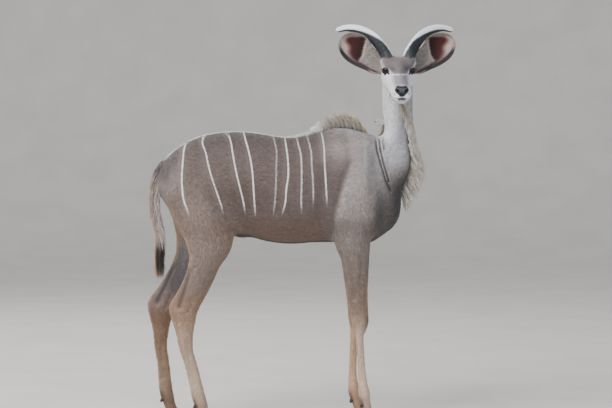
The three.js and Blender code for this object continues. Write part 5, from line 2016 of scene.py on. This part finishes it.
class KUDU_OT_face(bpy.types.Operator):
    """Makes the eyes, their dark lid edges and lashes, and the bare nose"""

    bl_idname = "kudu.face"
    bl_label = "Face"

    def execute(self, context):
        self.eyes()
        self.nose()
        return {"FINISHED"}

    @staticmethod
    def eyes():
        """Each eye is a ball with a slight bulge in front, in a rim of dark skin along the lids' slit."""
        material = eye_material()
        rim_material, _, shader = new_material("lid_edge", 0.4)
        shader.inputs["Base Color"].default_value = linear([20, 16, 15])
        rng = np.random.default_rng(LASH_SEED)
        lashes = {"roots": [], "ways": [], "lengths": []}
        for side, name in SIDES:
            look, level, rise = eye_axes(side)
            tilt = np.linspace(0.02, np.pi - 0.02, 60)[:, None]
            turn = (np.arange(64) * 2 * np.pi / 64)[None]
            radius = EYE_RADIUS * (1 + 0.035 * bell(tilt / 0.5) - 0.035)
            ball = radius[..., None] * (
                look * np.cos(tilt)[..., None]
                + level * (np.sin(tilt) * np.cos(turn))[..., None]
                + rise * (np.sin(tilt) * np.sin(turn))[..., None]
            )
            centre = EYE_PLACE * [1, side, 1]
            points, faces = closed_grid(on_head(ball + centre))
            thing = mesh_object(f"eye_{name}_dressed", points, faces, material)
            wide, tall = np.sin(tilt) * np.cos(turn) * EYE_RADIUS, np.sin(tilt) * np.sin(turn) * EYE_RADIUS
            pupil = np.sqrt((wide / 6.5) ** 2 + (tall / 3.6) ** 2)
            iris = np.sqrt(wide**2 + tall**2)
            colours = mixed([30.0, 19, 14], [5, 4, 5], 1 - ease(pupil, 0.85, 1.1))
            colours = mixed(colours, [14, 10, 9], ease(iris, 10, 12.5))
            paint(thing, with_poles(colours))
            finish_piece(thing, "eye", f"eye_{name}")
            around = np.arange(72) * 2 * np.pi / 72
            slit = np.stack(
                [
                    np.cos(around) * LID_HALF[0],
                    np.sin(around) * LID_HALF[1] / (1 + LID_NARROWING * np.cos(around) ** 2),
                ],
                -1
            ) * 1.03
            depth = np.sqrt(np.maximum((EYE_RADIUS + 0.9) ** 2 - (slit**2).sum(1), 1))
            line = centre + look * depth[:, None] + level * slit[:, :1] + rise * slit[:, 1:]
            tangent = unit(np.roll(line, -1, 0) - np.roll(line, 1, 0))
            out = unit(line - centre)
            across = np.cross(tangent, out)
            small = np.arange(10) * 2 * np.pi / 10
            tube = line[:, None] + 1.25 * (
                out[:, None] * np.cos(small)[None, :, None] + across[:, None] * np.sin(small)[None, :, None]
            )
            index = np.arange(720).reshape(72, 10)
            after, beside = np.roll(index, -1, 0), np.roll(index, -1, 1)
            quads = np.stack([index, beside, np.roll(after, -1, 1), after], -1).reshape(-1, 4)
            ring_points, ring_faces = outward(on_head(tube.reshape(-1, 3)), [quads])
            rim = mesh_object(f"lid_edge_{name}", ring_points, ring_faces, rim_material)
            finish_piece(rim, "eye")
            upper = np.flatnonzero(np.sin(around) > 0.15)
            pick = rng.choice(upper, LASHES)
            lashes["roots"].append(on_head(line[pick] + out[pick] * 0.5))
            way = out[pick] * 0.8 + rise * rng.uniform(0.05, 0.5, (LASHES, 1))
            way = way + level * rng.normal(0, 0.2, (LASHES, 1))
            lashes["ways"].append(way @ HEAD_AXES)
            lashes["lengths"].append(rng.uniform(7, 12, LASHES))
        roots, ways, lengths = (np.concatenate(lashes[key]) for key in ("roots", "ways", "lengths"))
        count = len(roots)
        dark = np.tile([18.0, 15, 14], (count, 1))
        flat = np.stack([0.9 + 0.0005 * np.arange(count), np.full(count, 0.5)], -1)
        thing = lock_object(
            "lashes",
            roots,
            ways,
            np.tile(LEFTWARD, (count, 1)),
            lengths,
            np.full(count, 0.7),
            np.tile([0, 0, -0.25], (count, 1)),
            dark,
            dark,
            flat,
            hair_material("lash_hair", 0.5),
            levels=3,
            sunk=1.0,
        )
        finish_piece(thing, "long_hair")

    @staticmethod
    def nose():
        """The nose: a grid over the end of the muzzle, just off the skin, with a pit for each nostril."""
        a, b = np.meshgrid(np.linspace(-1, 1, 73), np.linspace(0, 1, 57), indexing="ij")
        up = NOSE_TOP - NOSE_HEIGHT * b - 3.5 * a**4 * (1 - b)
        left = a * nose_width(up) * (1 - 0.12 * bell(b / 0.12))
        ahead = np.linspace(150, 205, 56)
        top, bottom, half, narrower = smooth(HEAD, ahead).T
        sine = (up[..., None] - (top + bottom) / 2) / ((top - bottom) / 2)
        reach = half * (1 - narrower * sine) * np.sqrt(np.clip(1 - sine**2, 0, 1))
        covered = (np.abs(left)[..., None] < reach) & (np.abs(sine) < 1)
        last = np.where(
            covered.any(-1),
            ahead[np.clip(covered.shape[-1] - 1 - np.argmax(covered[..., ::-1], -1), 0, 55)], 158.0
        )
        for _ in range(14):
            padded = np.pad(last, 1, mode="edge")
            last = (padded[:-2, 1:-1] + padded[2:, 1:-1] + padded[1:-1, :-2] + padded[1:-1, 2:]) / 4
        edge = np.maximum(np.abs(a), np.abs(2 * b - 1))
        depth = 2.4 - 5.5 * ease(edge, 0.82, 1.0)
        pits = np.zeros_like(up)
        for side in (-1, 1):
            level, rise = oval(left - side * 18.0, up + 24, side * 0.55, 6.8, 4.0)
            q = level**2 + rise**2
            pits = np.maximum(pits, np.exp(-((q / 1.7) ** 1.4)))
            depth = depth - 7.5 * np.exp(-(q**1.4)) + 1.6 * np.exp(-((np.sqrt(q) - 1.7) ** 2) / 0.12)
        depth = depth - 1.6 * bell(left / 1.3) * ease(b, 0.35, 0.6)
        outer = np.stack([last + depth, left, up], -1)
        inner = outer - [6, 0, 0]
        thing = mesh_object("nose", *closed_plate(on_head(outer), on_head(inner)), nose_material())
        # Painted reflection of the sky: the upper part of the wet black nose is paler blue-grey, the lower
        # part black; the nostrils and the edge darkest
        colours = mixed([70.0, 76, 88], [24, 23, 26], ease(b, 0.45, 0.75))
        colours = mixed(colours, [12, 11, 12], np.maximum(pits, ease(edge, 0.8, 0.97) * 0.7)).reshape(-1, 3)
        paint(thing, np.concatenate([colours, colours]))
        finish_piece(thing, "hide")


def closed_plate(outer, inner):
    """Two grids of equal size as one closed plate: both faces and the four edges between them."""
    rows, columns = outer.shape[:2]
    points = np.concatenate([outer.reshape(-1, 3), inner.reshape(-1, 3)])
    index = np.arange(rows * columns).reshape(rows, columns)
    quads = np.stack([index[:-1, :-1], index[1:, :-1], index[1:, 1:], index[:-1, 1:]], -1).reshape(-1, 4)
    other = quads[:, ::-1] + rows * columns
    border = np.concatenate([index[:, 0], index[-1, 1:], index[-2::-1, -1], index[0, -2:0:-1]])
    after = np.roll(border, -1)
    rim = np.stack([after, border, border + rows * columns, after + rows * columns], -1)
    return outward(points, [quads, other, rim])


class KUDU_OT_stage(bpy.types.Operator):
    """Sets the pale floor, the soft lights and the camera"""

    bl_idname = "kudu.stage"
    bl_label = "Stage"

    def execute(self, context):
        settings = context.scene.kudu.stage
        material, tree, shader = new_material("floor", 0.85)
        places = object_places(tree)
        shade = ranged(tree, noise(tree, places, 3.0, 4.0), 0.3, 0.7, 0.96, 1.03)
        tree.links.new(dimmed(tree, (*settings.floor, 1.0), shade), shader.inputs["Base Color"])
        profile = along_line(FLOOR_PROFILE, [0, 1])
        rows = smooth(profile, np.linspace(0, profile[-1, 0], 90))
        x = np.array([-16000.0, 16000.0])
        grid = np.stack(
            np.broadcast_arrays(x[:, None], rows[:, 0], rows[:, 1]),
            -1
        )
        index = np.arange(180).reshape(2, 90)
        quads = np.stack([index[0, :-1], index[1, :-1], index[1, 1:], index[0, 1:]], -1)
        floor = mesh_object("floor", grid.reshape(-1, 3), [quads], material)
        world = bpy.data.worlds.new("studio")
        world.use_nodes = True
        background = world.node_tree.nodes["Background"]
        background.inputs["Color"].default_value = (0.92, 0.96, 1.0, 1.0)
        background.inputs["Strength"].default_value = settings.sky
        context.scene.world = world
        self.light("key", (-3600, -4200, 5200), (150, 0, 900), settings.key, 4.2, (1.0, 0.97, 0.93))
        self.light("fill", (5200, -4800, 2600), (150, 0, 900), settings.fill, 5.0, (0.92, 0.96, 1.0))
        self.light("rim", (-1500, 3800, 4200), (150, 0, 1000), settings.fill, 3.0, (1.0, 1.0, 1.0))
        camera = bpy.data.cameras.new("camera")
        camera.sensor_width = 36.0
        camera.lens = CAMERA_LENS
        camera.clip_end = 100.0
        holder = bpy.data.objects.new("camera", camera)
        holder.location = placed(CAMERA_PLACE)
        holder.rotation_euler = (np.pi / 2 - CAMERA_DOWN, 0, 0)
        context.scene.collection.objects.link(holder)
        context.scene.camera = holder
        return {"FINISHED"}

    @staticmethod
    def light(name, place, target, power, size, colour):
        """A square area light at a place, turned to a target."""
        data = bpy.data.lights.new(name, "AREA")
        data.energy = power
        data.size = size
        data.color = colour
        holder = bpy.data.objects.new(name, data)
        holder.location = placed(np.array(place, float))
        aim = Vector(placed(np.array(target, float))) - holder.location
        holder.rotation_euler = aim.to_track_quat("-Z", "Y").to_euler()
        bpy.context.scene.collection.objects.link(holder)


class KUDU_PT_panel(bpy.types.Panel):
    """Lists the model's pieces and settings"""

    bl_idname = "KUDU_PT_panel"
    bl_label = "Greater Kudu"
    bl_space_type = "VIEW_3D"
    bl_region_type = "UI"
    bl_category = "Kudu"

    def draw(self, context):
        for operator in OPERATORS:
            self.layout.operator(operator.bl_idname)
        for group in (context.scene.kudu.coat, context.scene.kudu.hair, context.scene.kudu.stage):
            box = self.layout.box()
            for name in group.__annotations__:
                box.prop(group, name)


GROUPS = (CoatSettings, HairSettings, StageSettings, KuduSettings)
OPERATORS = (
    KUDU_OT_skin, KUDU_OT_face, KUDU_OT_horns, KUDU_OT_hooves, KUDU_OT_coat, KUDU_OT_long_hair,
    KUDU_OT_stage
)


def register():
    """Registers the settings, operators and panel."""
    for kind in (*GROUPS, *OPERATORS, KUDU_PT_panel):
        bpy.utils.register_class(kind)
    bpy.types.Scene.kudu = bpy.props.PointerProperty(type=KuduSettings)


def unregister():
    """Takes the settings, operators and panel away again."""
    del bpy.types.Scene.kudu
    for kind in reversed((*GROUPS, *OPERATORS, KUDU_PT_panel)):
        bpy.utils.unregister_class(kind)


def main():
    """Makes every piece in turn."""
    register()
    for operator in OPERATORS:
        group, name = operator.bl_idname.split(".")
        getattr(getattr(bpy.ops, group), name)()


if __name__ == "__main__":
    main()
